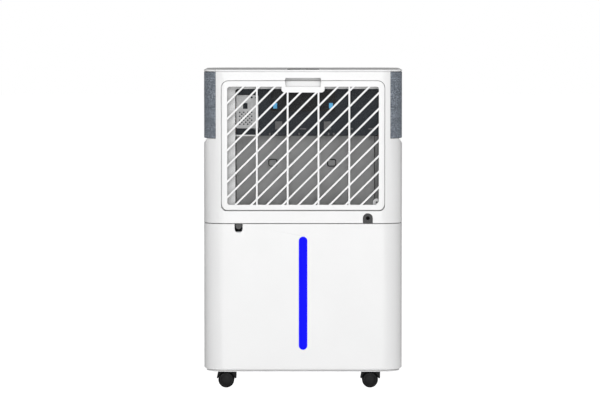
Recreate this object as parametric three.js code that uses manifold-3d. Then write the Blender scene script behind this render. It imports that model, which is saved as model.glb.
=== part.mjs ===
// Room dehumidifier on four twin-wheel casters, in millimetres, +Z up.
// The air inlet and the water tank face -Y. The origin is on the floor, under the middle.
import * as THREE from "three";
import { mergeVertices } from "three/addons/utils/BufferGeometryUtils.js";
import Module from "manifold-3d";

const wasm = await Module();
wasm.setup();

// ---------------------------------------------------------------- driving dimensions
// Cabinet
const WIDTH = 310;
const DEPTH = 240;
const HEIGHT = 500;
const CORNER_RADIUS = 32;
const WALL = 2.5;
const GAP = 0.3; // between fixed pieces that touch
const PLAY = 0.5; // between pieces that slide past each other
const GROUND_CLEARANCE = 28;
const SEAM_Z = 260.4; // between the tank and the upper housings
const SEAM_WIDTH = 1.2;
const SPLIT_Y = 5; // back of the tank

// Base and deck
const BASE_RIM = 2.4;
const BASE_INSET = 3.5;
const PLATFORM_RISE = 4.7;
const PLATFORM_INSET = 8;
const DECK_THICKNESS = 3;
const LEDGE = 2.5;

// Lid of the cabinet
const COVER_THICKNESS = 2.7;
const LIP_DEPTH = 3;
const SIDE_CAP_WIDTH = 18;

// Fabric side panels and the finger grip below them
const PANEL_THICKNESS = 4.5;
const PANEL_HEIGHT = 104;
const PANEL_WRAP = 18.7; // how far the panel reaches in from the side, round the corner
const GRIP_HEIGHT = 8.5;
const NARROWING_DROP = 12; // the housing narrows this far under the panel

// Inlet grille
const GRILLE_WIDTH = 254;
const GRILLE_HEIGHT = 202;
const GRILLE_LIFT = 20.2; // above the seam
const GRILLE_DEPTH = 6;
const GRILLE_RADIUS = 11;
const GRILLE_BORDER = 9;
const OPENING_RADIUS = 3.5;
const GROOVE = 0.7;
const POCKET_PLAY = 0.8; // behind the grille
const SLAT_WIDTH = 2.8;
const SLAT_DEPTH = 3.2;
const SLAT_PITCH = 24.5;
const SLAT_OFFSET = 134.4; // height above the seam of the slat that crosses the middle
const BAR_PITCH = 48;
const BAR_COUNT = 4;
const TAB_WIDTH = 67.4;
const TAB_DROP = 9;
const TAB_RADIUS = 5;
const FINGER_WIDTH = 54;
const FINGER_TAPER = 2.5;
const FINGER_RISE = 4.7; // part of the finger recess above the grille
const FINGER_DROP = 9.5; // part of the finger recess in the grille
const FINGER_LEDGE = 1.5; // height of the sloping ledge at its foot
const PIN_RADIUS = 0.8;
const PIN_BORE = PIN_RADIUS + 0.25;
const PIN_LENGTH = 2.2;
const HINGE_INSET = 2.3; // from the grille's front and lower faces
const HINGE_CORNER = 8.5; // radius of the pocket's lower corners
const NET_THICKNESS = 1;
const INTAKE_LEFT = -105.5;
const INTAKE_RIGHT = 119;
const INTAKE_BOTTOM = 7.4; // above the grille's lower edge
const INTAKE_TOP = 12.5; // below the grille's upper edge
const BOSS_RADIUS = 6;
const BOSS_BORE = 1.8;

// Water tank
const TANK_CHAMFER = 2;
const TANK_BACK_DROP = 12; // the back wall ends this far under the seam
const LID_THICKNESS = 2.5;
const LID_DROP = 12.9; // top of the lid under the seam
const WINDOW_WIDTH = 12.5;
const WINDOW_BOTTOM = 63;
const WINDOW_DROP = 20.8; // top of the window under the seam
const WINDOW_FLANGE = 2.3;
const LID_HOLE_RADIUS = 15;
const GRIP_SLOT_WIDTH = 84;
const GRIP_SLOT_DEPTH = 26;
const GRIP_BAR = 8;
const GRIP_BAR_RISE = 6.5;
const FLOAT_X = 75;
const FLOAT_WIDTH = 21;
const FLOAT_DEPTH = 14;
const FLOAT_HEIGHT = 20;
const FLOAT_TRAVEL = 15;
const FLOAT_DROP = 62.4; // bottom of the float under the seam
const GUIDE_WALL = 2.5;

// Drain outlet and cord inlet
const SPOUT_X = -100.5;
const SPOUT_RADIUS = 3;
const SPOUT_LENGTH = 21;
const SPOUT_DROP = 4.2; // tube centre under the seam
const NOTCH_WIDTH = 12.4;
const NOTCH_DEPTH = 14.4;
const CAP_WIDTH = 9.6;
const CAP_LENGTH = 9.5;
const CAP_END = 2;
const GLAND_X = 101;
const GLAND_WIDTH = 15.4;
const GLAND_TOP = 16; // above the seam
const GLAND_BORE = 3;
const GLAND_SLEEVE = 4.8;
const GLAND_FLANGE = 10;

// Coils
const COIL_LEFT = -104;
const COIL_RIGHT = 112;
const COIL_BOTTOM = 23.6; // above the seam
const EVAPORATOR_BACKSET = 22;
const EVAPORATOR_DEPTH = 24;
const EVAPORATOR_HEIGHT = 112;
const CONDENSER_BACKSET = 62;
const CONDENSER_DEPTH = 26;
const CONDENSER_HEIGHT = 186;
const END_PLATE = 1.2;
const TUBE_PITCH = 18;
const TUBE_RADIUS = 3;
const FIRST_TUBE = 11;
const PAN_HEIGHT = 16;
const PAN_WALL = 2;
const PAN_MARGIN = 14;
const DRIP_X = 60;
const DRIP_RADIUS = 6;

// Baffle over the evaporator
const BAFFLE_BACKSET = 16;
const BAFFLE_THICKNESS = 2;
const BAFFLE_HEIGHT = 87;
const BAFFLE_BOX_HALF = 50;
const BAFFLE_BOX_RISE = 38;
const BAFFLE_BOX_DEPTH = 5;
const PAD_SIZE = 11;
const PAD_RISE = 9.5;
const PAD_X = 38;
const BRACKET_LEFT = -104.2;
const BRACKET_WIDTH = 34.5;
const BRACKET_HEIGHT = 51.7;
const BRACKET_RISE = 11.3;
const BRACKET_THICKNESS = 1.2;
const BRACKET_FLANGE = 4;

// Fan
const FAN_LIFT = 104.6; // axis above the seam
const IMPELLER_RADIUS = 70;
const IMPELLER_LENGTH = 58;
const BLADE_COUNT = 18;
const BLADE_CHORD = 13;
const BLADE_THICKNESS = 1.6;
const BLADE_ANGLE = 0.6;
const SHAFT_RADIUS = 4;
const SHAFT_PLAY = 0.3;
const HUB_RADIUS = 12;
const VOLUTE_DEPTH = 70;
const VOLUTE_BACKSET = 28; // from the back of the cabinet
const VOLUTE_START = 78;
const VOLUTE_END = 107;
const VOLUTE_WALL = 2;
const MOTOR_RADIUS = 42;
const MOTOR_LENGTH = 22;
const MOUTH_RADIUS = 58;

// Louvre in the lid
const LOUVER_HALF_WIDTH = 105;
const LOUVER_DEPTH = 66;
const LOUVER_CLEARANCE = 0.8;
const LOUVER_THICKNESS = 2.3;
const LOUVER_PIN = 0.8;
const LOUVER_PIN_BORE = 1.05;
const LOUVER_AXIS_INSET = 2.5;
const OUTLET_DROP = 0.9;
const OUTLET_GRILLE = 2.5;
const OUTLET_BARS = 12;

// Control panel
const CONTROL_WIDTH = 50;
const CONTROL_LENGTH = 102;
const CONTROL_SETBACK = 0.7; // behind the grille pocket
const CONTROL_FLANGE = 3;
const BUTTON_COUNT = 5;
const BUTTON_RADIUS = 5;
const BUTTON_PITCH = 15;
const BUTTON_PLAY = 0.3;
const BUTTON_TRAVEL = 0.8;
const BOARD_THICKNESS = 1.6;
const BOARD_DROP = 13;
const POST_X = 21;
const POST_Y = 46;
const POST_HALF = 2;

// Compressor circuit, in the rear column
const COMPRESSOR_X = 40;
const COMPRESSOR_RADIUS = 44;
const COMPRESSOR_HEADROOM = 49.3; // up to the deck
const COMPRESSOR_BACKSET = 58;
const FOOT_RADIUS = 7;
const FOOT_HEIGHT = 11.4;
const FOOT_CIRCLE = 44;
const ACCUMULATOR_OFFSET = 72;
const ACCUMULATOR_RADIUS = 17;
const ACCUMULATOR_LIFT = 42;
const ACCUMULATOR_DROP = 21; // its top under the compressor's top
const SUCTION_HEADROOM = 31.3;
const DISCHARGE_HEADROOM = 17.3;
const SUCTION_RADIUS = 4;
const DISCHARGE_RADIUS = 3.2;
const CAPILLARY_RADIUS = 1.2;
const PIPE_LANE = 8; // pipes run this far behind the back of the tank
const HOLE_PLAY = 1.6;

// Casters
const CASTER_X = 113;
const CASTER_Y = 82;
const WHEEL_RADIUS = 12.6;
const WHEEL_TRAIL = 7.65;
const WHEEL_WIDTH = 7.5;
const HOOD_WIDTH = 7;
const HOOD_FRONT = 8.2;
const HOOD_LENGTH = 31;
const HOOD_SKIRT = 15; // lower edge of the fenders
const HOOD_TOP = 27.2;
const HOOD_LEAN = 2.5;
const FENDER_OVERHANG = 0.5; // past the wheel's outer face
const WEB_BOTTOM = 5.6;
const WEB_INSET = 5;
const NECK_RADIUS = 8;
const STEM_RADIUS = 4;
const STEM_PLAY = 0.3;
const AXLE_RADIUS = 2;
const AXLE_PLAY = 0.3;

// ---------------------------------------------------------------- places worked out from them
const FRONT = -DEPTH / 2;
const BACK = DEPTH / 2;
const RIM_TOP = GROUND_CLEARANCE + BASE_RIM;
const PLATFORM_TOP = RIM_TOP + PLATFORM_RISE;
const TANK_TOP = SEAM_Z - SEAM_WIDTH / 2;
const HOUSING_BOTTOM = SEAM_Z + PLAY;
const DECK_BOTTOM = TANK_TOP + PLAY;
const DECK_TOP = DECK_BOTTOM + DECK_THICKNESS;
const COVER_BOTTOM = HEIGHT - COVER_THICKNESS;
const HOUSING_TOP = COVER_BOTTOM - GAP;
const CAP_INNER_X = WIDTH / 2 - SIDE_CAP_WIDTH;
const PANEL_INNER_X = WIDTH / 2 - PANEL_WRAP;
const PANEL_BOTTOM = HOUSING_TOP - PANEL_HEIGHT;
const NARROW_Z = PANEL_BOTTOM - NARROWING_DROP;
const NARROW_X = WIDTH / 2 - PANEL_THICKNESS - GAP; // outside of the wall behind the fabric
const GRILLE_BOTTOM = SEAM_Z + GRILLE_LIFT;
const GRILLE_TOP = GRILLE_BOTTOM + GRILLE_HEIGHT;
const POCKET_FLOOR_Y = FRONT + GRILLE_DEPTH + POCKET_PLAY;
const LID_TOP = SEAM_Z - LID_DROP;
const WINDOW_TOP = SEAM_Z - WINDOW_DROP;
const FLOAT_BOTTOM = SEAM_Z - FLOAT_DROP;
const SPOUT_Z = SEAM_Z - SPOUT_DROP;
const COIL_Z = SEAM_Z + COIL_BOTTOM;
const EVAPORATOR_Y = FRONT + EVAPORATOR_BACKSET;
const CONDENSER_Y = FRONT + CONDENSER_BACKSET;
const VOLUTE_BACK = BACK - VOLUTE_BACKSET;
const VOLUTE_FRONT = VOLUTE_BACK - VOLUTE_DEPTH;
const FAN_Z = SEAM_Z + FAN_LIFT;
const OUTLET_TOP = COVER_BOTTOM - OUTLET_DROP;
const VOLUTE_TOP = OUTLET_TOP - OUTLET_GRILLE - GAP;
const LOUVER_FRONT = VOLUTE_FRONT;
const LOUVER_Z = HEIGHT - 0.1 - LOUVER_THICKNESS / 2;
const HINGE_Y = FRONT + HINGE_INSET;
const HINGE_Z = GRILLE_BOTTOM + HINGE_INSET;
const CONTROL_Y = POCKET_FLOOR_Y + WALL + CONTROL_SETBACK + CONTROL_LENGTH / 2;
const COMPRESSOR_Y = BACK - COMPRESSOR_BACKSET;
const PIPE_Y = SPLIT_Y + PIPE_LANE;
const ARC_STEPS = 6; // sides of a quarter turn

// ---------------------------------------------------------------- finishes
const finish = (color, roughness, metalness = 0) =>
  new THREE.MeshStandardMaterial({ color, roughness, metalness });
const WHITE = finish(0xf4f5f5, 0.45);
const GREY = finish(0xb9bcbf, 0.5);
const FABRIC = finish(0x838b95, 0.95);
const BLACK = finish(0x1b1d1f, 0.5);
const GLOSS = finish(0x9a9ea3, 0.15);
const BLUE = finish(0x1d1dff, 0.2);
const RUBBER = finish(0x222326, 0.85);
const ALUMINIUM = finish(0x8d9094, 0.4, 0.8);
const COPPER = finish(0xb87347, 0.35, 0.9);
const STEEL = finish(0x2d2f33, 0.5, 0.4);
const ZINC = finish(0xbebfc0, 0.4, 0.7);
const CLEAR = finish(0xdfe6ea, 0.2);
const NET = finish(0x3a3d40, 0.8);
const BOARD = finish(0x1f5c38, 0.5);

// ---------------------------------------------------------------- solids
// Turns a closed geometry into a solid with shared vertices and outward faces.
function solid(geometry) {
  geometry.deleteAttribute("normal");
  geometry.deleteAttribute("uv");
  const merged = mergeVertices(geometry, 1e-4);
  const position = merged.getAttribute("position");
  const index = merged.getIndex().array;
  const corner = (i) => new THREE.Vector3().fromBufferAttribute(position, i);
  const triangles = [];
  let volume = 0;
  for (let t = 0; t < index.length; t += 3) {
    const [a, b, c] = [index[t], index[t + 1], index[t + 2]];
    if (a === b || b === c || c === a) continue;
    triangles.push([a, b, c]);
    volume += corner(a).dot(corner(b).cross(corner(c)));
  }
  const facing = volume < 0 ? triangles.map(([a, b, c]) => [a, c, b]) : triangles;
  return new wasm.Manifold(new wasm.Mesh({
    numProp: 3,
    vertProperties: new Float32Array(position.array),
    triVerts: new Uint32Array(facing.flat()),
  }));
}

const join = (first, ...rest) => rest.reduce((whole, part) => whole.add(part), first);
const cut = (first, ...rest) => rest.reduce((whole, part) => whole.subtract(part), first);
const common = (first, ...rest) => rest.reduce((whole, part) => whole.intersect(part), first);

function box(x0, x1, y0, y1, z0, z1) {
  const geometry = new THREE.BoxGeometry(x1 - x0, y1 - y0, z1 - z0);
  return solid(geometry.translate((x0 + x1) / 2, (y0 + y1) / 2, (z0 + z1) / 2));
}

// Outline with round corners, from opposite corners.
function roundRect(x0, y0, x1, y1, radius, steps = ARC_STEPS) {
  const centres = [
    [x1 - radius, y1 - radius],
    [x0 + radius, y1 - radius],
    [x0 + radius, y0 + radius],
    [x1 - radius, y0 + radius],
  ];
  const points = [];
  centres.forEach(([cx, cy], quarter) => {
    for (let i = 0; i <= steps; i += 1) {
      const angle = ((quarter + i / steps) * Math.PI) / 2;
      points.push(new THREE.Vector2(cx + radius * Math.cos(angle), cy + radius * Math.sin(angle)));
    }
  });
  return points;
}

const polygon = (...pairs) => pairs.map(([x, y]) => new THREE.Vector2(x, y));

function circle(cx, cy, radius, sides = 24) {
  const turn = (i) => (i / sides) * 2 * Math.PI;
  return Array.from({ length: sides }, (_, i) =>
    new THREE.Vector2(cx + radius * Math.cos(turn(i)), cy + radius * Math.sin(turn(i))));
}

// Prisms along each axis. The outline is in (x, y), (x, z) or (y, z).
function prismZ(points, z0, z1) {
  const shape = new THREE.Shape(points);
  return solid(new THREE.ExtrudeGeometry(shape, { depth: z1 - z0, bevelEnabled: false }).translate(0, 0, z0));
}

function prismY(points, y0, y1) {
  const shape = new THREE.Shape(points);
  const geometry = new THREE.ExtrudeGeometry(shape, { depth: y1 - y0, bevelEnabled: false });
  return solid(geometry.translate(0, 0, -y1).rotateX(Math.PI / 2));
}

function prismX(points, x0, x1) {
  const shape = new THREE.Shape(points);
  const geometry = new THREE.ExtrudeGeometry(shape, { depth: x1 - x0, bevelEnabled: false });
  const turn = new THREE.Matrix4().makeBasis(
    new THREE.Vector3(0, 1, 0), new THREE.Vector3(0, 0, 1), new THREE.Vector3(1, 0, 0));
  return solid(geometry.applyMatrix4(turn).translate(x0, 0, 0));
}

// Turned solid about Z (or about Y), from [radius, height] pairs that start and end on the axis.
const turned = (pairs, sides = 24) =>
  new THREE.LatheGeometry(pairs.map(([r, h]) => new THREE.Vector2(r, h)), sides);
const latheZ = (pairs, sides) => solid(turned(pairs, sides).rotateX(Math.PI / 2));
const latheY = (pairs, sides) => solid(turned(pairs, sides));


// Tube through points, with rounded bends.
function pipe(points, radius, bend, sides = 6, stepsPerLeg = 8) {
  const corners = points.map(([x, y, z]) => new THREE.Vector3(x, y, z));
  const path = new THREE.CurvePath();
  let from = corners[0];
  for (let i = 1; i < corners.length - 1; i += 1) {
    const back = corners[i - 1].clone().sub(corners[i]).setLength(bend).add(corners[i]);
    const on = corners[i + 1].clone().sub(corners[i]).setLength(bend).add(corners[i]);
    path.add(new THREE.LineCurve3(from, back));
    path.add(new THREE.QuadraticBezierCurve3(back, corners[i], on));
    from = on;
  }
  path.add(new THREE.LineCurve3(from, corners[corners.length - 1]));
  const section = new THREE.Shape(circle(0, 0, radius, sides));
  const steps = stepsPerLeg * (points.length - 1);
  return solid(new THREE.ExtrudeGeometry(section, { extrudePath: path, steps, bevelEnabled: false }));
}

const group = new THREE.Group();
group.name = "dehumidifier";

function add(name, shape, material, parent = group) {
  const { vertProperties, triVerts } = shape.getMesh();
  const geometry = new THREE.BufferGeometry();
  geometry.setAttribute("position", new THREE.BufferAttribute(vertProperties, 3));
  geometry.setIndex(new THREE.BufferAttribute(triVerts, 1));
  geometry.computeVertexNormals();
  const mesh = new THREE.Mesh(geometry, material);
  mesh.name = name;
  parent.add(mesh);
  return mesh;
}

function place(x, y, z, parent = group) {
  const frame = new THREE.Group();
  frame.position.set(x, y, z);
  parent.add(frame);
  return frame;
}

// ---------------------------------------------------------------- cabinet outline
const FAR = 1000;
const inFront = (y) => box(-FAR, FAR, -FAR, y, -FAR, FAR);
const behind = (y) => box(-FAR, FAR, y, FAR, -FAR, FAR);
const above = (z) => box(-FAR, FAR, -FAR, FAR, z, FAR);

// The cabinet's plan outline, moved in by an inset, and narrowed further on the left and right.
function plan(inset = 0, narrowing = 0) {
  const x = WIDTH / 2 - inset - narrowing;
  const y = DEPTH / 2 - inset;
  return roundRect(-x, -y, x, y, CORNER_RADIUS - inset);
}

const block = (z0, z1, inset = 0, narrowing = 0) => prismZ(plan(inset, narrowing), z0, z1);

// ---------------------------------------------------------------- base, column and deck
function basePlate() {
  const rim = block(GROUND_CLEARANCE, RIM_TOP, BASE_INSET);
  const platform = block(RIM_TOP, PLATFORM_TOP, PLATFORM_INSET);
  const sockets = [-1, 1].flatMap((sx) => [-1, 1].map((sy) => prismZ(
    circle(sx * CASTER_X, sy * CASTER_Y, STEM_RADIUS + STEM_PLAY), 0, RIM_TOP)));
  return cut(join(rim, platform), ...sockets);
}

function rearColumn() {
  const low = RIM_TOP + GAP;
  const outer = common(block(low, TANK_TOP), behind(SPLIT_Y + PLAY));
  const inner = common(block(0, FAR, WALL), behind(SPLIT_Y + PLAY + WALL));
  const vents = [0, 1, 2, 3, 4, 5].map((i) => prismY(
    roundRect(-35, 70 + i * 12, 35, 74 + i * 12, 1.9, 2), BACK - 2 * WALL, BACK + WALL));
  const platformEdge = WIDTH / 2 - PLATFORM_INSET + PLAY;
  const overPlatform = box(-platformEdge, platformEdge, 0, BACK / 2, 0, PLATFORM_TOP + GAP);
  return cut(outer, inner, overPlatform, ...vents);
}

function midDeck() {
  const plate = block(DECK_BOTTOM, DECK_TOP, WALL + GAP);
  const hole = (x, y, radius) => prismZ(circle(x, y, radius, 16), 0, FAR);
  return cut(
    plate,
    hole(SUCTION_X, PIPE_Y, SUCTION_RADIUS + HOLE_PLAY),
    hole(DISCHARGE_X, PIPE_Y, DISCHARGE_RADIUS + HOLE_PLAY),
    hole(DRIP_X, DRIP_Y, DRIP_RADIUS + HOLE_PLAY),
    hole(SPOUT_X, SPOUT_RISER_Y, SPOUT_RADIUS + HOLE_PLAY),
  );
}

// ---------------------------------------------------------------- upper housings
// Both halves: a tube of the plan outline, stepped in behind the fabric panels.
function housingTube() {
  const outer = block(HOUSING_BOTTOM, HOUSING_TOP);
  const wide = block(0, NARROW_Z, WALL);
  const narrow = block(NARROW_Z - 1, FAR, WALL, WIDTH / 2 - NARROW_X);
  const ledge = cut(block(DECK_TOP + GAP, DECK_TOP + GAP + LEDGE, WALL / 2), block(0, FAR, WALL + LEDGE));
  return join(cut(outer, wide, narrow, ...[-1, 1].map(panelPocket), ...[-1, 1].map(fingerGrip)), ledge);
}

function panelPocket(side) {
  const shell = cut(block(PANEL_BOTTOM - GAP, FAR), block(0, FAR, 0, PANEL_THICKNESS + GAP));
  const from = PANEL_INNER_X - GAP;
  return common(shell, side > 0 ? box(from, FAR, -FAR, FAR, 0, FAR) : box(-FAR, -from, -FAR, FAR, 0, FAR));
}

// Sloping cut under the fabric, along the side, that the fingers hook into.
function fingerGrip(side) {
  const x = WIDTH / 2;
  const deep = x - PANEL_THICKNESS - GAP;
  const wedge = polygon(
    [side * deep, PANEL_BOTTOM - GAP],
    [side * (x + 1), PANEL_BOTTOM - GAP - GRIP_HEIGHT],
    [side * (x + 1), PANEL_BOTTOM],
    [side * deep, PANEL_BOTTOM],
  );
  return prismY(side > 0 ? wedge : wedge.reverse(), -FAR, FAR);
}

const grilleRect = (margin, radius) => roundRect(
  -GRILLE_WIDTH / 2 - margin, GRILLE_BOTTOM - margin, GRILLE_WIDTH / 2 + margin, GRILLE_TOP + margin, radius);

function inletHousing() {
  const half = common(housingTube(), inFront(-GAP / 2));
  const back = POCKET_FLOOR_Y + WALL;
  const cupTop = GRILLE_TOP + FINGER_RISE;
  const frame = prismY(grilleRect(GROOVE + WALL, GRILLE_RADIUS + GROOVE + WALL), FRONT + 1.5, back);
  const cup = box(-FINGER_WIDTH / 2 - 2 * WALL, FINGER_WIDTH / 2 + 2 * WALL,
    FRONT + 1.5, back, GRILLE_TOP - WALL, cupTop + WALL);
  const rounded = (radius) => prismY(grilleRect(GROOVE, radius), FRONT - 1, POCKET_FLOOR_Y);
  const lower = box(-FAR, FAR, -FAR, FAR, 0, GRILLE_BOTTOM + GRILLE_HEIGHT / 2);
  const pocket = join(rounded(GRILLE_RADIUS + GROOVE), common(rounded(HINGE_CORNER), lower));
  const scoop = prismY(fingerOutline(), FRONT - 1, POCKET_FLOOR_Y);
  const bossX = INTAKE_RIGHT - BOSS_RADIUS + 2;
  const bossZ = GRILLE_BOTTOM + INTAKE_BOTTOM + BOSS_RADIUS - 1;
  const boss = prismY(circle(bossX, bossZ, BOSS_RADIUS, 20), POCKET_FLOOR_Y, back);
  const intake = prismY(roundRect(INTAKE_LEFT, GRILLE_BOTTOM + INTAKE_BOTTOM,
    INTAKE_RIGHT, GRILLE_TOP - INTAKE_TOP, OPENING_RADIUS, 3), FRONT, 0);
  const hingeEnd = GRILLE_WIDTH / 2 + PIN_LENGTH + PLAY;
  const hinge = prismX(circle(HINGE_Y, HINGE_Z, PIN_BORE, 16), -hingeEnd, hingeEnd);
  const shell = cut(join(half, frame, cup), pocket, scoop, intake, hinge, glandNotch(0));
  return cut(join(shell, boss), prismY(circle(bossX, bossZ, BOSS_BORE, 12), FRONT, 0));
}

// Six-sided outline of the finger recess, which crosses the grille's upper edge.
function fingerOutline() {
  const half = FINGER_WIDTH / 2;
  const top = GRILLE_TOP + FINGER_RISE;
  const low = GRILLE_TOP - FINGER_DROP;
  const wide = half + FINGER_TAPER / 2;
  return polygon([-half, low], [half, low], [wide, GRILLE_TOP],
    [half, top], [-half, top], [-wide, GRILLE_TOP]);
}

function glandNotch(margin) {
  const half = GLAND_WIDTH / 2 - margin;
  const centre = SEAM_Z + GLAND_TOP - GLAND_WIDTH / 2;
  const low = margin ? HOUSING_BOTTOM + margin : 0;
  const arch = circle(GLAND_X, centre, half, 24).slice(0, 13);
  return prismY([...arch, new THREE.Vector2(GLAND_X - half, low), new THREE.Vector2(GLAND_X + half, low)],
    FRONT - 1, FRONT + WALL + LEDGE + 1);
}

function outletHousing() {
  return common(housingTube(), behind(GAP / 2));
}

function sidePanel(side) {
  const from = PANEL_INNER_X;
  const shell = cut(block(PANEL_BOTTOM, HOUSING_TOP), block(0, FAR, 0, PANEL_THICKNESS));
  return common(shell, side > 0 ? box(from, FAR, -FAR, FAR, 0, FAR) : box(-FAR, -from, -FAR, FAR, 0, FAR));
}

// ---------------------------------------------------------------- lid of the cabinet
function lidBlank() {
  const narrowing = WIDTH / 2 - NARROW_X;
  const lip = cut(block(COVER_BOTTOM - LIP_DEPTH, COVER_BOTTOM + 1, WALL + GAP, narrowing),
    block(0, FAR, 2 * WALL + GAP, narrowing));
  return join(block(COVER_BOTTOM, HEIGHT), lip);
}

function topCover() {
  const half = CAP_INNER_X - GAP;
  const blank = common(lidBlank(), box(-half, half, -FAR, FAR, 0, FAR));
  const louverBack = LOUVER_FRONT + LOUVER_DEPTH;
  const louver = box(-LOUVER_HALF_WIDTH, LOUVER_HALF_WIDTH, LOUVER_FRONT, louverBack, 0, FAR);
  const pinEnd = LOUVER_HALF_WIDTH + 3;
  const axisY = LOUVER_FRONT + LOUVER_AXIS_INSET;
  const pins = prismX(circle(axisY, LOUVER_Z, LOUVER_PIN_BORE, 10), -pinEnd, pinEnd);
  const panel = prismZ(controlOutline(GAP), 0, FAR);
  return cut(blank, louver, pins, panel);
}

function sideCap(side) {
  const keep = side > 0
    ? box(CAP_INNER_X, FAR, -FAR, FAR, 0, FAR)
    : box(-FAR, -CAP_INNER_X, -FAR, FAR, 0, FAR);
  return common(lidBlank(), keep);
}

// ---------------------------------------------------------------- control panel
const controlOutline = (margin) => roundRect(
  -CONTROL_WIDTH / 2 - margin, CONTROL_Y - CONTROL_LENGTH / 2 - margin,
  CONTROL_WIDTH / 2 + margin, CONTROL_Y + CONTROL_LENGTH / 2 + margin, 3 + margin, 3);

const buttonY = (i) => CONTROL_Y - CONTROL_LENGTH / 2 + 16 + i * BUTTON_PITCH;
const FLANGE_TOP = COVER_BOTTOM - GAP;
const FLANGE_BOTTOM = FLANGE_TOP - 2.5;
const BOARD_TOP = HEIGHT - BOARD_DROP;

function controlPanel() {
  const plate = prismZ(controlOutline(0), FLANGE_BOTTOM, HEIGHT);
  const flange = prismZ(controlOutline(CONTROL_FLANGE), FLANGE_BOTTOM, FLANGE_TOP);
  const posts = [-1, 1].flatMap((sx) => [-1, 1].map((sy) => box(
    sx * POST_X - POST_HALF, sx * POST_X + POST_HALF,
    CONTROL_Y + sy * POST_Y - POST_HALF, CONTROL_Y + sy * POST_Y + POST_HALF,
    BOARD_TOP + GAP, FLANGE_BOTTOM + 1)));
  const holes = Array.from({ length: BUTTON_COUNT }, (_, i) =>
    prismZ(circle(0, buttonY(i), BUTTON_RADIUS + BUTTON_PLAY, 16), 0, FAR));
  return cut(join(plate, flange, ...posts), ...holes);
}

// Button with a collar under the panel. Its own origin is at the middle of its top.
function button() {
  const collar = FLANGE_BOTTOM - HEIGHT - GAP;
  const foot = -BOARD_DROP + BUTTON_TRAVEL + 0.7;
  return latheZ([[0, foot], [3, foot], [3, collar - 2], [BUTTON_RADIUS + 1.3, collar - 2],
    [BUTTON_RADIUS + 1.3, collar], [BUTTON_RADIUS, collar], [BUTTON_RADIUS, -0.4],
    [BUTTON_RADIUS - 0.4, 0], [0, 0]], 12);
}

function controlBoard() {
  const half = CONTROL_WIDTH / 2;
  const length = CONTROL_LENGTH / 2;
  const low = BOARD_TOP - BOARD_THICKNESS;
  const board = box(-half, half, CONTROL_Y - length, CONTROL_Y + length, low, BOARD_TOP);
  const chip = box(-8, 8, CONTROL_Y + 31, CONTROL_Y + 44, BOARD_TOP - 1, BOARD_TOP + 3);
  return join(board, chip);
}

// ---------------------------------------------------------------- inlet grille
function filterGrille() {
  const opening = [GRILLE_WIDTH / 2 - GRILLE_BORDER, GRILLE_BOTTOM + GRILLE_BORDER, GRILLE_TOP - GRILLE_BORDER];
  const [halfOpening, low, high] = opening;
  const back = FRONT + GRILLE_DEPTH;
  const frame = prismY(grilleRect(0, GRILLE_RADIUS), FRONT, back);
  const hole = prismY(roundRect(-halfOpening, low, halfOpening, high, OPENING_RADIUS, 3), FRONT - 1, back + 1);
  const slatBack = FRONT + SLAT_DEPTH;
  const bars = Array.from({ length: BAR_COUNT }, (_, i) => {
    const x = (i - (BAR_COUNT - 1) / 2) * BAR_PITCH;
    return box(x - SLAT_WIDTH / 2, x + SLAT_WIDTH / 2, FRONT, slatBack + 0.4, low - 1, high + 1);
  });
  const window = prismY(roundRect(-halfOpening - 1, low - 1, halfOpening + 1, high + 1, 1, 1), FRONT, slatBack);
  const slats = common(join(...slatList(halfOpening, low, high, slatBack)), window);
  const tab = prismY(roundRect(-TAB_WIDTH / 2, high - TAB_DROP, TAB_WIDTH / 2, high + 3, TAB_RADIUS, 4),
    FRONT, slatBack + 0.8);
  const whole = join(cut(frame, hole), ...bars, slats, tab);
  const body = common(cut(whole, fingerSlope(), aroundHinge()), block(0, FAR));
  const pin = prismX(circle(HINGE_Y, HINGE_Z, PIN_RADIUS, 12),
    -GRILLE_WIDTH / 2 - PIN_LENGTH, GRILLE_WIDTH / 2 + PIN_LENGTH);
  const clear = box(-GRILLE_WIDTH / 2 + GRILLE_RADIUS, GRILLE_WIDTH / 2 - GRILLE_RADIUS, -FAR, FAR, 0, FAR);
  return join(body, cut(pin, clear));
}

function slatList(half, low, high, back) {
  const slats = [];
  const reach = (SLAT_WIDTH / 2) * Math.SQRT2;
  const middle = SEAM_Z + SLAT_OFFSET;
  const first = Math.ceil((low - half - middle - reach) / SLAT_PITCH);
  const last = Math.floor((high + half - middle + reach) / SLAT_PITCH);
  for (let n = first; n <= last; n += 1) {
    const level = middle + n * SLAT_PITCH;
    const end = half + 5;
    slats.push(prismY(polygon(
      [-end, level - end - reach], [end, level + end - reach],
      [end, level + end + reach], [-end, level - end + reach]), FRONT, back));
  }
  return slats;
}

// The finger recess slopes in towards the top inside the grille's frame.
function fingerSlope() {
  const low = GRILLE_TOP - FINGER_DROP;
  const back = FRONT + GRILLE_DEPTH - 1.5;
  const wedge = prismX(polygon([FRONT - 1, low], [FRONT, low], [back - 1.5, low + FINGER_LEDGE],
    [back, GRILLE_TOP], [back, GRILLE_TOP + 1], [FRONT - 1, GRILLE_TOP + 1]), -FINGER_WIDTH, FINGER_WIDTH);
  return common(wedge, prismY(fingerOutline(), FRONT - 2, FRONT + GRILLE_DEPTH));
}

// What is cut off the lower front edge, so that it turns about the hinge in the housing's pocket.
function aroundHinge() {
  const edge = prismX(circle(HINGE_Y, HINGE_Z, HINGE_INSET, 16), -FAR, FAR);
  return cut(box(-GRILLE_WIDTH, GRILLE_WIDTH, FRONT - 1, HINGE_Y, 0, HINGE_Z), edge);
}

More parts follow.
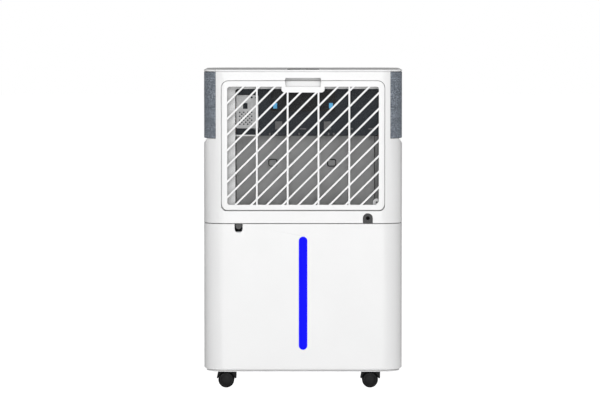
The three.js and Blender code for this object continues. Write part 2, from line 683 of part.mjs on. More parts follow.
function filterNet() {
  const half = GRILLE_WIDTH / 2 - GRILLE_BORDER - GAP;
  const front = FRONT + SLAT_DEPTH + 0.8 + GAP;
  return prismY(roundRect(-half, GRILLE_BOTTOM + GRILLE_BORDER + GAP, half,
    GRILLE_TOP - GRILLE_BORDER - GAP, OPENING_RADIUS - GAP, 3), front, front + NET_THICKNESS);
}

// ---------------------------------------------------------------- water tank
const TANK_FLOOR = PLATFORM_TOP + PLAY;

function tankShell() {
  const low = RIM_TOP + PLAY;
  const shape = new THREE.Shape(plan(TANK_CHAMFER));
  const outer = solid(new THREE.ExtrudeGeometry(shape, {
    depth: TANK_TOP - low,
    bevelThickness: TANK_CHAMFER,
    bevelSize: TANK_CHAMFER,
    bevelSegments: 1,
  }).translate(0, 0, low + TANK_CHAMFER));
  const body = cut(common(outer, inFront(SPLIT_Y)), above(TANK_TOP));
  const cavity = common(block(TANK_FLOOR + WALL, FAR, WALL), inFront(SPLIT_Y - WALL));
  const under = block(0, TANK_FLOOR, WALL + TANK_CHAMFER / 2);
  const platformEdge = WIDTH / 2 - PLATFORM_INSET + PLAY;
  const underBack = box(-platformEdge, platformEdge, 0, FAR, 0, TANK_FLOOR);
  const backTop = common(block(SEAM_Z - TANK_BACK_DROP, FAR, WALL), behind(0));
  const windowCut = prismY(windowOutline(GAP), FRONT - 1, FRONT + WALL + 1);
  const half = NOTCH_WIDTH / 2;
  const notchLow = SEAM_Z - NOTCH_DEPTH;
  const notch = prismY(roundRect(SPOUT_X - half, notchLow, SPOUT_X + half, SEAM_Z + 20, half - 0.01, 6),
    FRONT - 1, FRONT + WALL + 1);
  const shelfTop = LID_TOP - LID_THICKNESS - GAP;
  const shelf = common(cut(block(shelfTop - 2.5, shelfTop, WALL / 2), block(0, FAR, WALL + 3)),
    inFront(SPLIT_Y - WALL / 2));
  return cut(join(cut(body, cavity, under, underBack, backTop), shelf), windowCut, notch);
}

const windowOutline = (margin) => roundRect(
  -WINDOW_WIDTH / 2 - margin, WINDOW_BOTTOM - margin,
  WINDOW_WIDTH / 2 + margin, WINDOW_TOP + margin, WINDOW_WIDTH / 2 + margin - 0.01, 6);

function tankWindow() {
  const inside = FRONT + WALL + GAP;
  return join(prismY(windowOutline(0), FRONT, inside),
    prismY(windowOutline(WINDOW_FLANGE), inside, inside + 2));
}

const GRIP_Y = (FRONT + SPLIT_Y) / 2;
const DRIP_Y = EVAPORATOR_Y + EVAPORATOR_DEPTH + 14;

function tankLid() {
  const plate = common(block(LID_TOP - LID_THICKNESS, LID_TOP, WALL + GAP), inFront(SPLIT_Y - WALL - GAP));
  const half = GRIP_SLOT_WIDTH / 2;
  const slot = (y) => prismZ(roundRect(-half, y, half, y + GRIP_SLOT_DEPTH, 8, 4), 0, FAR);
  const bar = box(-half - 4, half + 4, GRIP_Y - GRIP_BAR / 2, GRIP_Y + GRIP_BAR / 2,
    LID_TOP - LID_THICKNESS, LID_TOP + GRIP_BAR_RISE);
  const fill = prismZ(circle(DRIP_X, DRIP_Y, LID_HOLE_RADIUS), 0, FAR);
  const slots = [slot(GRIP_Y - GRIP_BAR / 2 - GRIP_SLOT_DEPTH), slot(GRIP_Y + GRIP_BAR / 2)];
  return cut(join(cut(plate, ...slots), bar), fill);
}

function floatGuide() {
  const back = SPLIT_Y - WALL - GAP;
  const half = FLOAT_WIDTH / 2 + PLAY;
  const front = back - GUIDE_WALL - FLOAT_DEPTH - 2 * PLAY;
  const low = FLOAT_BOTTOM - PLAY - GUIDE_WALL;
  const high = FLOAT_BOTTOM + FLOAT_HEIGHT + FLOAT_TRAVEL + GUIDE_WALL;
  const x0 = FLOAT_X - half;
  const x1 = FLOAT_X + half;
  const outer = box(x0 - GUIDE_WALL, x1 + GUIDE_WALL, front - GUIDE_WALL, back, low, high);
  const room = box(x0, x1, front, back - GUIDE_WALL, low + GUIDE_WALL, FAR);
  const slot = [x0 + GUIDE_WALL, x1 - GUIDE_WALL];
  const mouth = box(...slot, front - 2 * GUIDE_WALL, front + 1, low + GUIDE_WALL, FAR);
  return cut(outer, room, mouth);
}

function tankFloat() {
  const back = SPLIT_Y - WALL - GAP - GUIDE_WALL - PLAY;
  return prismZ(roundRect(FLOAT_X - FLOAT_WIDTH / 2, back - FLOAT_DEPTH, FLOAT_X + FLOAT_WIDTH / 2, back, 3, 3),
    FLOAT_BOTTOM, FLOAT_BOTTOM + FLOAT_HEIGHT);
}

// ---------------------------------------------------------------- drain outlet and cord inlet
const SPOUT_TIP = FRONT + CAP_END + 5;
const SPOUT_RISER_Y = SPOUT_TIP + SPOUT_LENGTH;

function drainSpout() {
  const tube = prismY(circle(SPOUT_X, SPOUT_Z, SPOUT_RADIUS, 16), SPOUT_TIP, SPOUT_RISER_Y);
  const elbow = prismZ(circle(SPOUT_X, SPOUT_RISER_Y, SPOUT_RADIUS, 16),
    SPOUT_Z - SPOUT_RADIUS, DECK_TOP + PAN_LIFT);
  return join(tube, elbow);
}

function drainCap() {
  const half = CAP_WIDTH / 2;
  const top = SEAM_Z - 0.6;
  const front = FRONT + PLAY;
  const section = circle(SPOUT_X, SPOUT_Z, half, 24).slice(12);
  section.push(new THREE.Vector2(SPOUT_X + half, SPOUT_Z), new THREE.Vector2(SPOUT_X + half, top),
    new THREE.Vector2(SPOUT_X - half, top));
  const bore = prismY(circle(SPOUT_X, SPOUT_Z, SPOUT_RADIUS + 0.25, 16),
    SPOUT_TIP - PLAY, front + CAP_LENGTH + 1);
  return cut(prismY(section, front, front + CAP_LENGTH), bore);
}

function cordGland() {
  const inside = FRONT + WALL + GAP;
  const overDeck = box(-FAR, FAR, FRONT + WALL, FAR, 0, DECK_TOP + GAP);
  const plug = cut(common(glandNotch(GAP), behind(FRONT + 0.2), inFront(inside + 0.5)), overDeck);
  const centre = SEAM_Z + GLAND_TOP - GLAND_WIDTH / 2;
  const flange = prismY(roundRect(GLAND_X - GLAND_FLANGE, DECK_TOP + 2 * GAP + LEDGE,
    GLAND_X + GLAND_FLANGE, GRILLE_BOTTOM - GROOVE - WALL - GAP, 3, 2), inside, inside + 2.5);
  const sleeve = prismY(circle(GLAND_X, centre, GLAND_SLEEVE, 16), inside, inside + 9);
  const bore = prismY(circle(GLAND_X, centre, GLAND_BORE, 16), FRONT - 1, inside + 20);
  return cut(join(plug, flange, sleeve), bore);
}

// ---------------------------------------------------------------- coils, pan and baffle
const PAN_LIFT = 3; // between the deck and the drain pan
const PAN_BOTTOM = DECK_TOP + GAP + PAN_LIFT;

// Half-round bend in the plane of the plate's thickness and Z, that leaves the plate sideways.
function returnBend(x, y, z, side) {
  const arc = new THREE.CurvePath();
  const r = TUBE_PITCH / 2;
  const start = new THREE.Vector3(x, y, z);
  const end = new THREE.Vector3(x, y, z + TUBE_PITCH);
  const out = new THREE.Vector3(side * r * 1.33, 0, 0);
  arc.add(new THREE.CubicBezierCurve3(start, start.clone().add(out), end.clone().add(out), end));
  const section = new THREE.Shape(circle(0, 0, TUBE_RADIUS, 6));
  return solid(new THREE.ExtrudeGeometry(section, { extrudePath: arc, steps: 5, bevelEnabled: false }));
}

// End plate of a coil with the bends that join its tubes in pairs.
function coilEnd(side, front, depth, height, firstPair) {
  const face = side > 0 ? COIL_RIGHT + GAP : COIL_LEFT - GAP;
  const outer = face + side * END_PLATE;
  const [x0, x1] = side > 0 ? [face, outer] : [outer, face];
  const plate = box(x0, x1, front - 1, front + depth + 1, COIL_Z - 1, COIL_Z + height + 1);
  const rows = Math.floor((height - FIRST_TUBE) / TUBE_PITCH);
  const bends = [];
  for (let i = firstPair; i + 1 <= rows; i += 2) {
    bends.push(returnBend(outer - side * 0.5, front + depth / 2, COIL_Z + FIRST_TUBE + i * TUBE_PITCH, side));
  }
  return join(plate, ...bends);
}

const coilCore = (front, depth, height) =>
  box(COIL_LEFT, COIL_RIGHT, front, front + depth, COIL_Z, COIL_Z + height);

function drainPan() {
  const [x0, x1] = [COIL_LEFT - PAN_MARGIN, COIL_RIGHT + PAN_MARGIN];
  const front = EVAPORATOR_Y - 5;
  const back = DRIP_Y + DRIP_RADIUS + 4;
  const top = PAN_BOTTOM + PAN_HEIGHT;
  const tray = cut(box(x0, x1, front, back, PAN_BOTTOM, top),
    box(x0 + PAN_WALL, x1 - PAN_WALL, front + PAN_WALL, back - PAN_WALL, PAN_BOTTOM + PAN_WALL, FAR));
  const nipple = prismZ(circle(DRIP_X, DRIP_Y, DRIP_RADIUS, 16), SEAM_Z - 4, PAN_BOTTOM + 1);
  return cut(join(tray, nipple), prismZ(circle(DRIP_X, DRIP_Y, DRIP_RADIUS - 1.6, 16), 0, FAR));
}

const BAFFLE_BOTTOM = COIL_Z + EVAPORATOR_HEIGHT + 1.2;

function coilBaffle() {
  const front = FRONT + BAFFLE_BACKSET;
  const left = INTAKE_LEFT + 1;
  const right = INTAKE_RIGHT + 4;
  const top = BAFFLE_BOTTOM + BAFFLE_HEIGHT;
  const panel = box(left, right, front, front + BAFFLE_THICKNESS, BAFFLE_BOTTOM, top);
  const wing = box(INTAKE_RIGHT - 1, right, front, front + BAFFLE_THICKNESS, COIL_Z, BAFFLE_BOTTOM + 1);
  const raised = box(-BAFFLE_BOX_HALF, BAFFLE_BOX_HALF, front - BAFFLE_BOX_DEPTH, front + 1,
    BAFFLE_BOTTOM + BAFFLE_BOX_RISE, top);
  const pads = [-PAD_X, PAD_X].map((x) => box(x - PAD_SIZE / 2, x + PAD_SIZE / 2, front - 1.5, front + 1,
    BAFFLE_BOTTOM + PAD_RISE, BAFFLE_BOTTOM + PAD_RISE + PAD_SIZE + 1.5));
  return join(panel, wing, raised, ...pads);
}

function perforatedBracket() {
  const front = FRONT + BAFFLE_BACKSET - BRACKET_FLANGE - GAP;
  const back = front + BRACKET_THICKNESS;
  const low = BAFFLE_BOTTOM + BRACKET_RISE;
  const right = BRACKET_LEFT + BRACKET_WIDTH;
  const plate = prismY(roundRect(BRACKET_LEFT, low, right, low + BRACKET_HEIGHT, 2, 2), front, back);
  const flange = box(BRACKET_LEFT, BRACKET_LEFT + BRACKET_THICKNESS, front, front + BRACKET_FLANGE,
    low + 3, low + BRACKET_HEIGHT - 3);
  const square = box(BRACKET_LEFT + 10.6, BRACKET_LEFT + 17.6, -FAR, 0, low + 30.4, low + 39.6);
  const round = prismY(circle(BRACKET_LEFT + 24.2, low + 48.2, 1.6, 10), -FAR / 2, 0);
  return cut(join(plate, flange), square, round);
}

// ---------------------------------------------------------------- fan
function fanOrifice() {
  const half = NARROW_X - WALL - PLAY;
  const back = VOLUTE_FRONT - PLAY;
  const front = back - WALL;
  const plate = box(-half, half, front, back, DECK_TOP + 2 * GAP + LEDGE, COVER_BOTTOM - LIP_DEPTH - PLAY);
  const mouth = prismY(circle(0, FAN_Z, MOUTH_RADIUS + WALL, 40), back - 1, VOLUTE_FRONT + 4);
  return cut(join(plate, mouth), prismY(circle(0, FAN_Z, MOUTH_RADIUS, 40), -FAR, FAR));
}

// Outline of the scroll: a growing spiral, open at the top into a flared outlet.
function scroll(inset, top) {
  const steps = 36;
  const start = Math.PI / 3;
  const points = [];
  for (let i = 0; i <= steps; i += 1) {
    const share = i / steps;
    const angle = start + share * (2 * Math.PI - start);
    const radius = VOLUTE_START + share * (VOLUTE_END - VOLUTE_START) - inset;
    points.push(new THREE.Vector2(radius * Math.cos(angle), FAN_Z + radius * Math.sin(angle)));
  }
  const right = VOLUTE_END - inset;
  const flare = polygon([right, FAN_Z - 1], [right, top], [-right, top], [-right, VOLUTE_TOP - 14 + inset],
    [points[0].x - inset, points[0].y - 4 * inset], [0, FAN_Z]);
  return [points.concat(polygon([0, FAN_Z])), flare];
}

function fanVolute() {
  const [outerScroll, outerFlare] = scroll(0, VOLUTE_TOP);
  const [innerScroll, innerFlare] = scroll(VOLUTE_WALL, VOLUTE_TOP + 5);
  const tongue = prismY(circle(0, FAN_Z, VOLUTE_START - VOLUTE_WALL, 40),
    VOLUTE_FRONT + VOLUTE_WALL, VOLUTE_BACK - VOLUTE_WALL);
  const rim = prismY(circle(0, FAN_Z, VOLUTE_START, 40), VOLUTE_FRONT, VOLUTE_BACK);
  const outer = join(prismY(outerScroll, VOLUTE_FRONT, VOLUTE_BACK), prismY(outerFlare, VOLUTE_FRONT, VOLUTE_BACK), rim);
  const inner = join(
    prismY(innerScroll, VOLUTE_FRONT + VOLUTE_WALL, VOLUTE_BACK - VOLUTE_WALL),
    prismY(innerFlare, VOLUTE_FRONT + VOLUTE_WALL, VOLUTE_BACK - VOLUTE_WALL), tongue);
  return cut(outer, inner,
    prismY(circle(0, FAN_Z, MOUTH_RADIUS + WALL + 1.5, 40), -FAR, VOLUTE_FRONT + 2 * VOLUTE_WALL),
    prismY(circle(0, FAN_Z, HUB_RADIUS, 20), VOLUTE_BACK - 2 * VOLUTE_WALL, FAR));
}

// Drum of forward-leaning blades on a back disc, with its shaft. Its own origin is on the axis.
function impeller() {
  const half = IMPELLER_LENGTH / 2;
  const shaftEnd = half + (VOLUTE_DEPTH - IMPELLER_LENGTH) / 2 + GAP + 8;
  const disc = latheY([[0, half - 22], [HUB_RADIUS, half - 22], [HUB_RADIUS, half - 2],
    [IMPELLER_RADIUS, half - 2], [IMPELLER_RADIUS, half], [HUB_RADIUS - 2, half], [SHAFT_RADIUS, half],
    [SHAFT_RADIUS, shaftEnd], [0, shaftEnd]], 24);
  const ring = latheY([[IMPELLER_RADIUS - 7, -half], [IMPELLER_RADIUS, -half], [IMPELLER_RADIUS, -half + 2.5],
    [IMPELLER_RADIUS - 7, -half + 2.5], [IMPELLER_RADIUS - 7, -half]], 24);
  const blades = Array.from({ length: BLADE_COUNT }, (_, i) => {
    const blade = new THREE.BoxGeometry(BLADE_CHORD, IMPELLER_LENGTH - 2, BLADE_THICKNESS);
    blade.rotateY(BLADE_ANGLE).translate(IMPELLER_RADIUS - 7.5, -0.5, 0);
    return solid(blade.rotateY((i / BLADE_COUNT) * 2 * Math.PI));
  });
  return join(disc, ring, ...blades);
}

function fanMotor() {
  const y = VOLUTE_BACK + GAP;
  const bore = prismY(circle(0, FAN_Z, SHAFT_RADIUS + SHAFT_PLAY, 16), y - 1, y + 10);
  const can = latheY([[0, 0], [MOTOR_RADIUS + 8, 0], [MOTOR_RADIUS + 8, 2], [MOTOR_RADIUS, 2],
    [MOTOR_RADIUS, MOTOR_LENGTH - 4], [MOTOR_RADIUS - 4, MOTOR_LENGTH], [0, MOTOR_LENGTH]], 24);
  return cut(can.translate([0, y, FAN_Z]), bore);
}

// ---------------------------------------------------------------- louvre and outlet grille
function louver() {
  const x = LOUVER_HALF_WIDTH - LOUVER_CLEARANCE;
  const y0 = LOUVER_FRONT + LOUVER_CLEARANCE;
  const y1 = LOUVER_FRONT + LOUVER_DEPTH - LOUVER_CLEARANCE;
  const half = LOUVER_THICKNESS / 2;
  const flap = prismZ(roundRect(-x, y0, x, y1, 1.5, 2), LOUVER_Z - half, LOUVER_Z + half);
  const end = LOUVER_HALF_WIDTH + 2;
  const pin = prismX(circle(LOUVER_FRONT + LOUVER_AXIS_INSET, LOUVER_Z, LOUVER_PIN, 10), -end, end);
  return join(flap, pin);
}

function outletGrille() {
  const x = LOUVER_HALF_WIDTH + 2;
  const low = OUTLET_TOP - OUTLET_GRILLE;
  const plate = box(-x, x, VOLUTE_FRONT, VOLUTE_BACK, low, OUTLET_TOP);
  const pitch = (2 * x - 4) / (OUTLET_BARS + 1);
  const slots = Array.from({ length: OUTLET_BARS + 1 }, (_, i) => {
    const left = 2 - x + i * pitch;
    return box(left + 1, left + pitch - 1, VOLUTE_FRONT + 3, VOLUTE_BACK - 3, low - 1, OUTLET_TOP + 1);
  });
  return cut(plate, ...slots);
}

// ---------------------------------------------------------------- compressor circuit
const COMPRESSOR_BOTTOM = PLATFORM_TOP + GAP + FOOT_HEIGHT + GAP;
const COMPRESSOR_TOP = DECK_BOTTOM - COMPRESSOR_HEADROOM;
const COMPRESSOR_HEIGHT = COMPRESSOR_TOP - COMPRESSOR_BOTTOM;
const ACCUMULATOR_Z = COMPRESSOR_BOTTOM + ACCUMULATOR_LIFT;
const ACCUMULATOR_HEIGHT = COMPRESSOR_TOP - ACCUMULATOR_DROP - ACCUMULATOR_Z;
const SUCTION_X = COIL_RIGHT + 22;
const DISCHARGE_X = COIL_RIGHT + 10;
const SUCTION_Z = COIL_Z + FIRST_TUBE + 5 * TUBE_PITCH;
const DISCHARGE_Z = COIL_Z + FIRST_TUBE + 9 * TUBE_PITCH;

function compressor() {
  const r = COMPRESSOR_RADIUS;
  const h = COMPRESSOR_HEIGHT;
  return latheZ([[0, 0], [r + 8, 0], [r + 8, 3], [r - 8, 3], [r - 2, 10], [r, 18], [r, h * 0.55], [r + 1.5, h * 0.57],
    [r + 1.5, h * 0.6], [r - 1, h * 0.62], [r - 1, h - 26], [r - 8, h - 12], [r - 20, h - 3], [0, h]], 24);
}

const foot = () => latheZ([[0, 0], [FOOT_RADIUS, 0], [FOOT_RADIUS, 4], [FOOT_RADIUS - 1.8, 5.7],
  [FOOT_RADIUS, 7.4], [FOOT_RADIUS, FOOT_HEIGHT], [0, FOOT_HEIGHT]], 16);

// Suction accumulator beside the compressor, with its strap and outlet pipe.
function accumulator() {
  const r = ACCUMULATOR_RADIUS;
  const h = ACCUMULATOR_HEIGHT;
  const can = latheZ([[0, 0], [r - 9, 2], [r, 12], [r, h - 12], [r - 9, h - 2], [0, h]], 20);
  const reach = ACCUMULATOR_OFFSET - COMPRESSOR_RADIUS - GAP;
  const strap = box(r - 3, reach - 0.1, -4, 4, h * 0.6, h * 0.6 + 8);
  const outlet = pipe([[0, 0, 4], [0, 0, -14], [reach - 0.6, 0, -14]], DISCHARGE_RADIUS, 8);
  return join(can, strap, outlet);
}

function suctionLine() {
  const x = COMPRESSOR_X - ACCUMULATOR_OFFSET;
  const level = DECK_BOTTOM - SUCTION_HEADROOM;
  const y = EVAPORATOR_Y + EVAPORATOR_DEPTH / 2;
  return pipe([
    [x, COMPRESSOR_Y, ACCUMULATOR_Z + ACCUMULATOR_HEIGHT + GAP],
    [x, COMPRESSOR_Y, level],
    [SUCTION_X, PIPE_Y, level],
    [SUCTION_X, PIPE_Y, SUCTION_Z],
    [SUCTION_X, y, SUCTION_Z],
    [COIL_RIGHT + END_PLATE + 2 * GAP, y, SUCTION_Z],
  ], SUCTION_RADIUS, 10);
}

function dischargeLine() {
  const level = DECK_BOTTOM - DISCHARGE_HEADROOM;
  const y = CONDENSER_Y + CONDENSER_DEPTH / 2;
  return pipe([
    [COMPRESSOR_X, COMPRESSOR_Y, COMPRESSOR_TOP + GAP],
    [COMPRESSOR_X, COMPRESSOR_Y, level],
    [DISCHARGE_X, PIPE_Y, level],
    [DISCHARGE_X, PIPE_Y, DISCHARGE_Z],
    [DISCHARGE_X, y, DISCHARGE_Z],
    [COIL_RIGHT + END_PLATE + 2 * GAP, y, DISCHARGE_Z],
  ], DISCHARGE_RADIUS, 7);
}

function capillary() {
  const x = COIL_RIGHT + END_PLATE + 2 * GAP;
  const z = COIL_Z + FIRST_TUBE;
  const from = EVAPORATOR_Y + EVAPORATOR_DEPTH / 2;
  const to = CONDENSER_Y + CONDENSER_DEPTH / 2;
  return pipe([[x, from, z], [x + 6, from, z], [x + 6, to, z], [x, to, z]], CAPILLARY_RADIUS, 4, 5, 5);
}

function electronicsBox() {
  const x0 = WALL + PLAY - WIDTH / 2 + 10;
  const y1 = BACK - WALL - GAP;
  const lid = prismZ(roundRect(x0, y1 - 88, x0 + 72, y1 - 12, 4, 3), TANK_TOP - 100, TANK_TOP - 12);
  const rail = box(x0 + 24, x0 + 56, y1 - 14, y1, TANK_TOP - 95, TANK_TOP - 17);
  return join(lid, rail);
}

// ---------------------------------------------------------------- casters
// Swivelling hood: fenders over both wheels and the web between them that holds the axle.
// Its own origin is on the floor, on the swivel axis.
function casterHood() {
  const tail = HOOD_FRONT - HOOD_LENGTH;
  const reach = HOOD_WIDTH / 2 + PLAY + WHEEL_WIDTH + FENDER_OVERHANG;
  const fenders = prismY(polygon([tail, HOOD_SKIRT], [HOOD_FRONT, HOOD_SKIRT],
    [HOOD_FRONT, HOOD_TOP], [tail + HOOD_LEAN, HOOD_TOP]), -reach, reach);
  const [left, right] = [tail + WEB_INSET, HOOD_FRONT - WEB_INSET];
  const web = prismY(polygon([left, WEB_BOTTOM + WEB_INSET / 2], [left + WEB_INSET, WEB_BOTTOM],
    [right - WEB_INSET, WEB_BOTTOM], [right, WEB_BOTTOM + WEB_INSET / 2],
    [right, HOOD_SKIRT + 1], [left, HOOD_SKIRT + 1]), -HOOD_WIDTH / 2, HOOD_WIDTH / 2);
  const neck = prismZ(circle(0, 0, NECK_RADIUS, 12), HOOD_TOP - 1, GROUND_CLEARANCE - PLAY);
  const stem = prismZ(circle(0, 0, STEM_RADIUS, 12), HOOD_TOP - 1, RIM_TOP - PLAY);
  const wheelRoom = [-1, 1].map((side) => {
    const near = side * (HOOD_WIDTH / 2);
    const far = side * FAR;
    const ring = circle(-WHEEL_TRAIL, WHEEL_RADIUS, WHEEL_RADIUS + 1, 24);
    return prismY(ring, Math.min(near, far), Math.max(near, far));
  });
  const axle = prismY(circle(-WHEEL_TRAIL, WHEEL_RADIUS, AXLE_RADIUS + AXLE_PLAY, 12), -FAR, FAR);
  return cut(join(fenders, web, neck, stem), ...wheelRoom, axle);
}

// Pair of wheels on one axle, along Y. Its own origin is at the middle of the axle.
function casterWheel() {
  const near = HOOD_WIDTH / 2 + PLAY;
  const far = near + WHEEL_WIDTH;
  const r = WHEEL_RADIUS;
  return latheY([[0, -far], [r - 5, -far], [r - 1.2, -far + 1.2], [r, -far + 3], [r, -near], [AXLE_RADIUS, -near],
    [AXLE_RADIUS, near], [r, near], [r, far - 3], [r - 1.2, far - 1.2], [r - 5, far], [0, far]], 20);
}

// ---------------------------------------------------------------- assembly
add("base_plate", basePlate(), WHITE);
add("rear_column", rearColumn(), WHITE);
add("mid_deck", midDeck(), GREY);
add("inlet_housing", inletHousing(), WHITE);
add("outlet_housing", outletHousing(), WHITE);
add("top_cover", topCover(), WHITE);
add("control_panel", controlPanel(), GLOSS);
add("control_board", controlBoard(), BOARD);
add("cord_gland", cordGland(), BLACK);
add("drain_spout", drainSpout(), GREY);
add("drain_cap", drainCap(), GREY);
add("coil_baffle", coilBaffle(), BLACK);
add("perforated_bracket", perforatedBracket(), ZINC);
add("evaporator_core", coilCore(EVAPORATOR_Y, EVAPORATOR_DEPTH, EVAPORATOR_HEIGHT), ALUMINIUM);
add("condenser_core", coilCore(CONDENSER_Y, CONDENSER_DEPTH, CONDENSER_HEIGHT), ALUMINIUM);
add("drain_pan", drainPan(), BLACK);
add("fan_orifice", fanOrifice(), BLACK);
add("fan_volute", fanVolute(), GREY);
add("fan_motor", fanMotor(), STEEL);
add("outlet_grille", outletGrille(), BLACK);
add("louver", louver(), WHITE);
add("suction_line", suctionLine(), COPPER);
add("discharge_line", dischargeLine(), COPPER);
add("capillary_tube", capillary(), COPPER);
add("electronics_box", electronicsBox(), GREY);
add("filter_grille", filterGrille(), WHITE);
add("filter_net", filterNet(), NET);
add("tank", tankShell(), WHITE);
add("tank_window", tankWindow(), BLUE);
add("tank_lid", tankLid(), CLEAR);
add("float_guide", floatGuide(), CLEAR);
add("tank_float", tankFloat(), GREY);

for (const [label, side] of [["left", -1], ["right", 1]]) {
  add(`side_cap_${label}`, sideCap(side), GREY);
  add(`side_panel_${label}`, sidePanel(side), FABRIC);
  add(`evaporator_end_${label}`,
    coilEnd(side, EVAPORATOR_Y, EVAPORATOR_DEPTH, EVAPORATOR_HEIGHT, side > 0 ? 1 : 0), COPPER);
  add(`condenser_end_${label}`,
    coilEnd(side, CONDENSER_Y, CONDENSER_DEPTH, CONDENSER_HEIGHT, side > 0 ? 1 : 0), COPPER);
}

const fan = place(0, (VOLUTE_FRONT + VOLUTE_BACK) / 2, FAN_Z);
add("impeller", impeller(), BLACK, fan);

const engine = place(COMPRESSOR_X, COMPRESSOR_Y, COMPRESSOR_BOTTOM);
add("compressor", compressor(), STEEL, engine);
add("accumulator", accumulator(), STEEL, place(-ACCUMULATOR_OFFSET, 0, ACCUMULATOR_Z - COMPRESSOR_BOTTOM, engine));
for (let i = 0; i < 3; i += 1) {
  const angle = Math.PI / 6 + (i * 2 * Math.PI) / 3;
  const spot = place(FOOT_CIRCLE * Math.cos(angle), FOOT_CIRCLE * Math.sin(angle), -GAP - FOOT_HEIGHT, engine);
  add(`compressor_foot_${i + 1}`, foot(), RUBBER, spot);
}

for (let i = 0; i < BUTTON_COUNT; i += 1) {
  add(`button_${i + 1}`, button(), GREY, place(0, buttonY(i), HEIGHT));
}

const corners = [["front_left", -1, -1], ["front_right", 1, -1], ["rear_left", -1, 1], ["rear_right", 1, 1]];
for (const [label, sx, sy] of corners) {
  const spot = place(sx * CASTER_X, sy * CASTER_Y, 0);
  add(`caster_hood_${label}`, casterHood(), BLACK, spot);
  add(`caster_wheel_${label}`, casterWheel(), BLACK, place(-WHEEL_TRAIL, 0, WHEEL_RADIUS, spot));
}

export default group;
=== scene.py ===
"""Studio scene of a room dehumidifier: the CAD frame with finished surfaces and fine pieces around it."""
import math
import random

import bmesh
import bpy
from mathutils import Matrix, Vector


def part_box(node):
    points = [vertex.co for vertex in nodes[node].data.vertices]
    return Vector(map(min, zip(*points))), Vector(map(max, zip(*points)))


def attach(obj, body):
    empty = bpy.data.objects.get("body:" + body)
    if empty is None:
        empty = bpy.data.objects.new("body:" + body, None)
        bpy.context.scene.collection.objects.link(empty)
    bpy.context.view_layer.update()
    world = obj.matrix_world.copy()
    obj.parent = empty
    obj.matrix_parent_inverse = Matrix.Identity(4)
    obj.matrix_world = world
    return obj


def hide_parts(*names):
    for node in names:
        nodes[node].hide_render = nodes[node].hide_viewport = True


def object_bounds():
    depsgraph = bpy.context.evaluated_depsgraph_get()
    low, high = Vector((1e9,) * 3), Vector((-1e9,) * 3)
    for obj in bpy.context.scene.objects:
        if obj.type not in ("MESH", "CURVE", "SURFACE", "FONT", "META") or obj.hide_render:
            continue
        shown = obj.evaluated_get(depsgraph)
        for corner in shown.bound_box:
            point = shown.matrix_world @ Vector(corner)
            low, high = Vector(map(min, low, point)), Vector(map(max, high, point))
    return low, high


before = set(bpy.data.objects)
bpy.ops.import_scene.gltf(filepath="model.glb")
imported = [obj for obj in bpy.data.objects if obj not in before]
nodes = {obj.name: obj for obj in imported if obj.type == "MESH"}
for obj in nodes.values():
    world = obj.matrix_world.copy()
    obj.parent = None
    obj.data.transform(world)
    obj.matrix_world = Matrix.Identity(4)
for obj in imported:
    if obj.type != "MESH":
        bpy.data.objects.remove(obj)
cad_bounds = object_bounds()
MM = 0.001

# ---------------------------------------------------------------- places taken from the frame
LOW, HIGH = (Vector(corner) for corner in cad_bounds)
WIDTH = HIGH.x - LOW.x
DEPTH = HIGH.y - LOW.y
HEIGHT = HIGH.z - LOW.z
FRONT = LOW.y
BACK = HIGH.y
CORNER_RADIUS = 32 * MM
CORNERS = ("front_left", "front_right", "rear_left", "rear_right")

# ---------------------------------------------------------------- the photographer's viewpoint
LENS_MM = 192.8
SENSOR_MM = 36
CAMERA_DISTANCE = 5.0
CAMERA_HEIGHT = 0.575
CAMERA_SHIFT = -0.00475
CAMERA_TILT = 3.323  # degrees below level


# ---------------------------------------------------------------- camera and light
def make_camera():
    data = bpy.data.cameras.new("camera")
    data.lens = LENS_MM
    data.sensor_width = SENSOR_MM
    data.clip_end = 50
    camera = bpy.data.objects.new("camera", data)
    bpy.context.scene.collection.objects.link(camera)
    camera.location = (CAMERA_SHIFT, FRONT - CAMERA_DISTANCE, CAMERA_HEIGHT)
    camera.rotation_euler = (math.radians(90 - CAMERA_TILT), 0, 0)
    bpy.context.scene.camera = camera


def area_light(name, location, target, size, radiance, size_y=None, mirrored=True):
    """A rectangular softbox, brighter with radiance. Unmirrored ones leave no highlight."""
    data = bpy.data.lights.new(name, "AREA")
    data.shape = "RECTANGLE"
    data.size = size
    data.size_y = size_y or size
    data.energy = radiance * math.pi * data.size * data.size_y
    light = bpy.data.objects.new(name, data)
    light.location = location
    light.rotation_euler = (Vector(target) - Vector(location)).to_track_quat("-Z", "Y").to_euler()
    light.visible_glossy = mirrored
    bpy.context.scene.collection.objects.link(light)


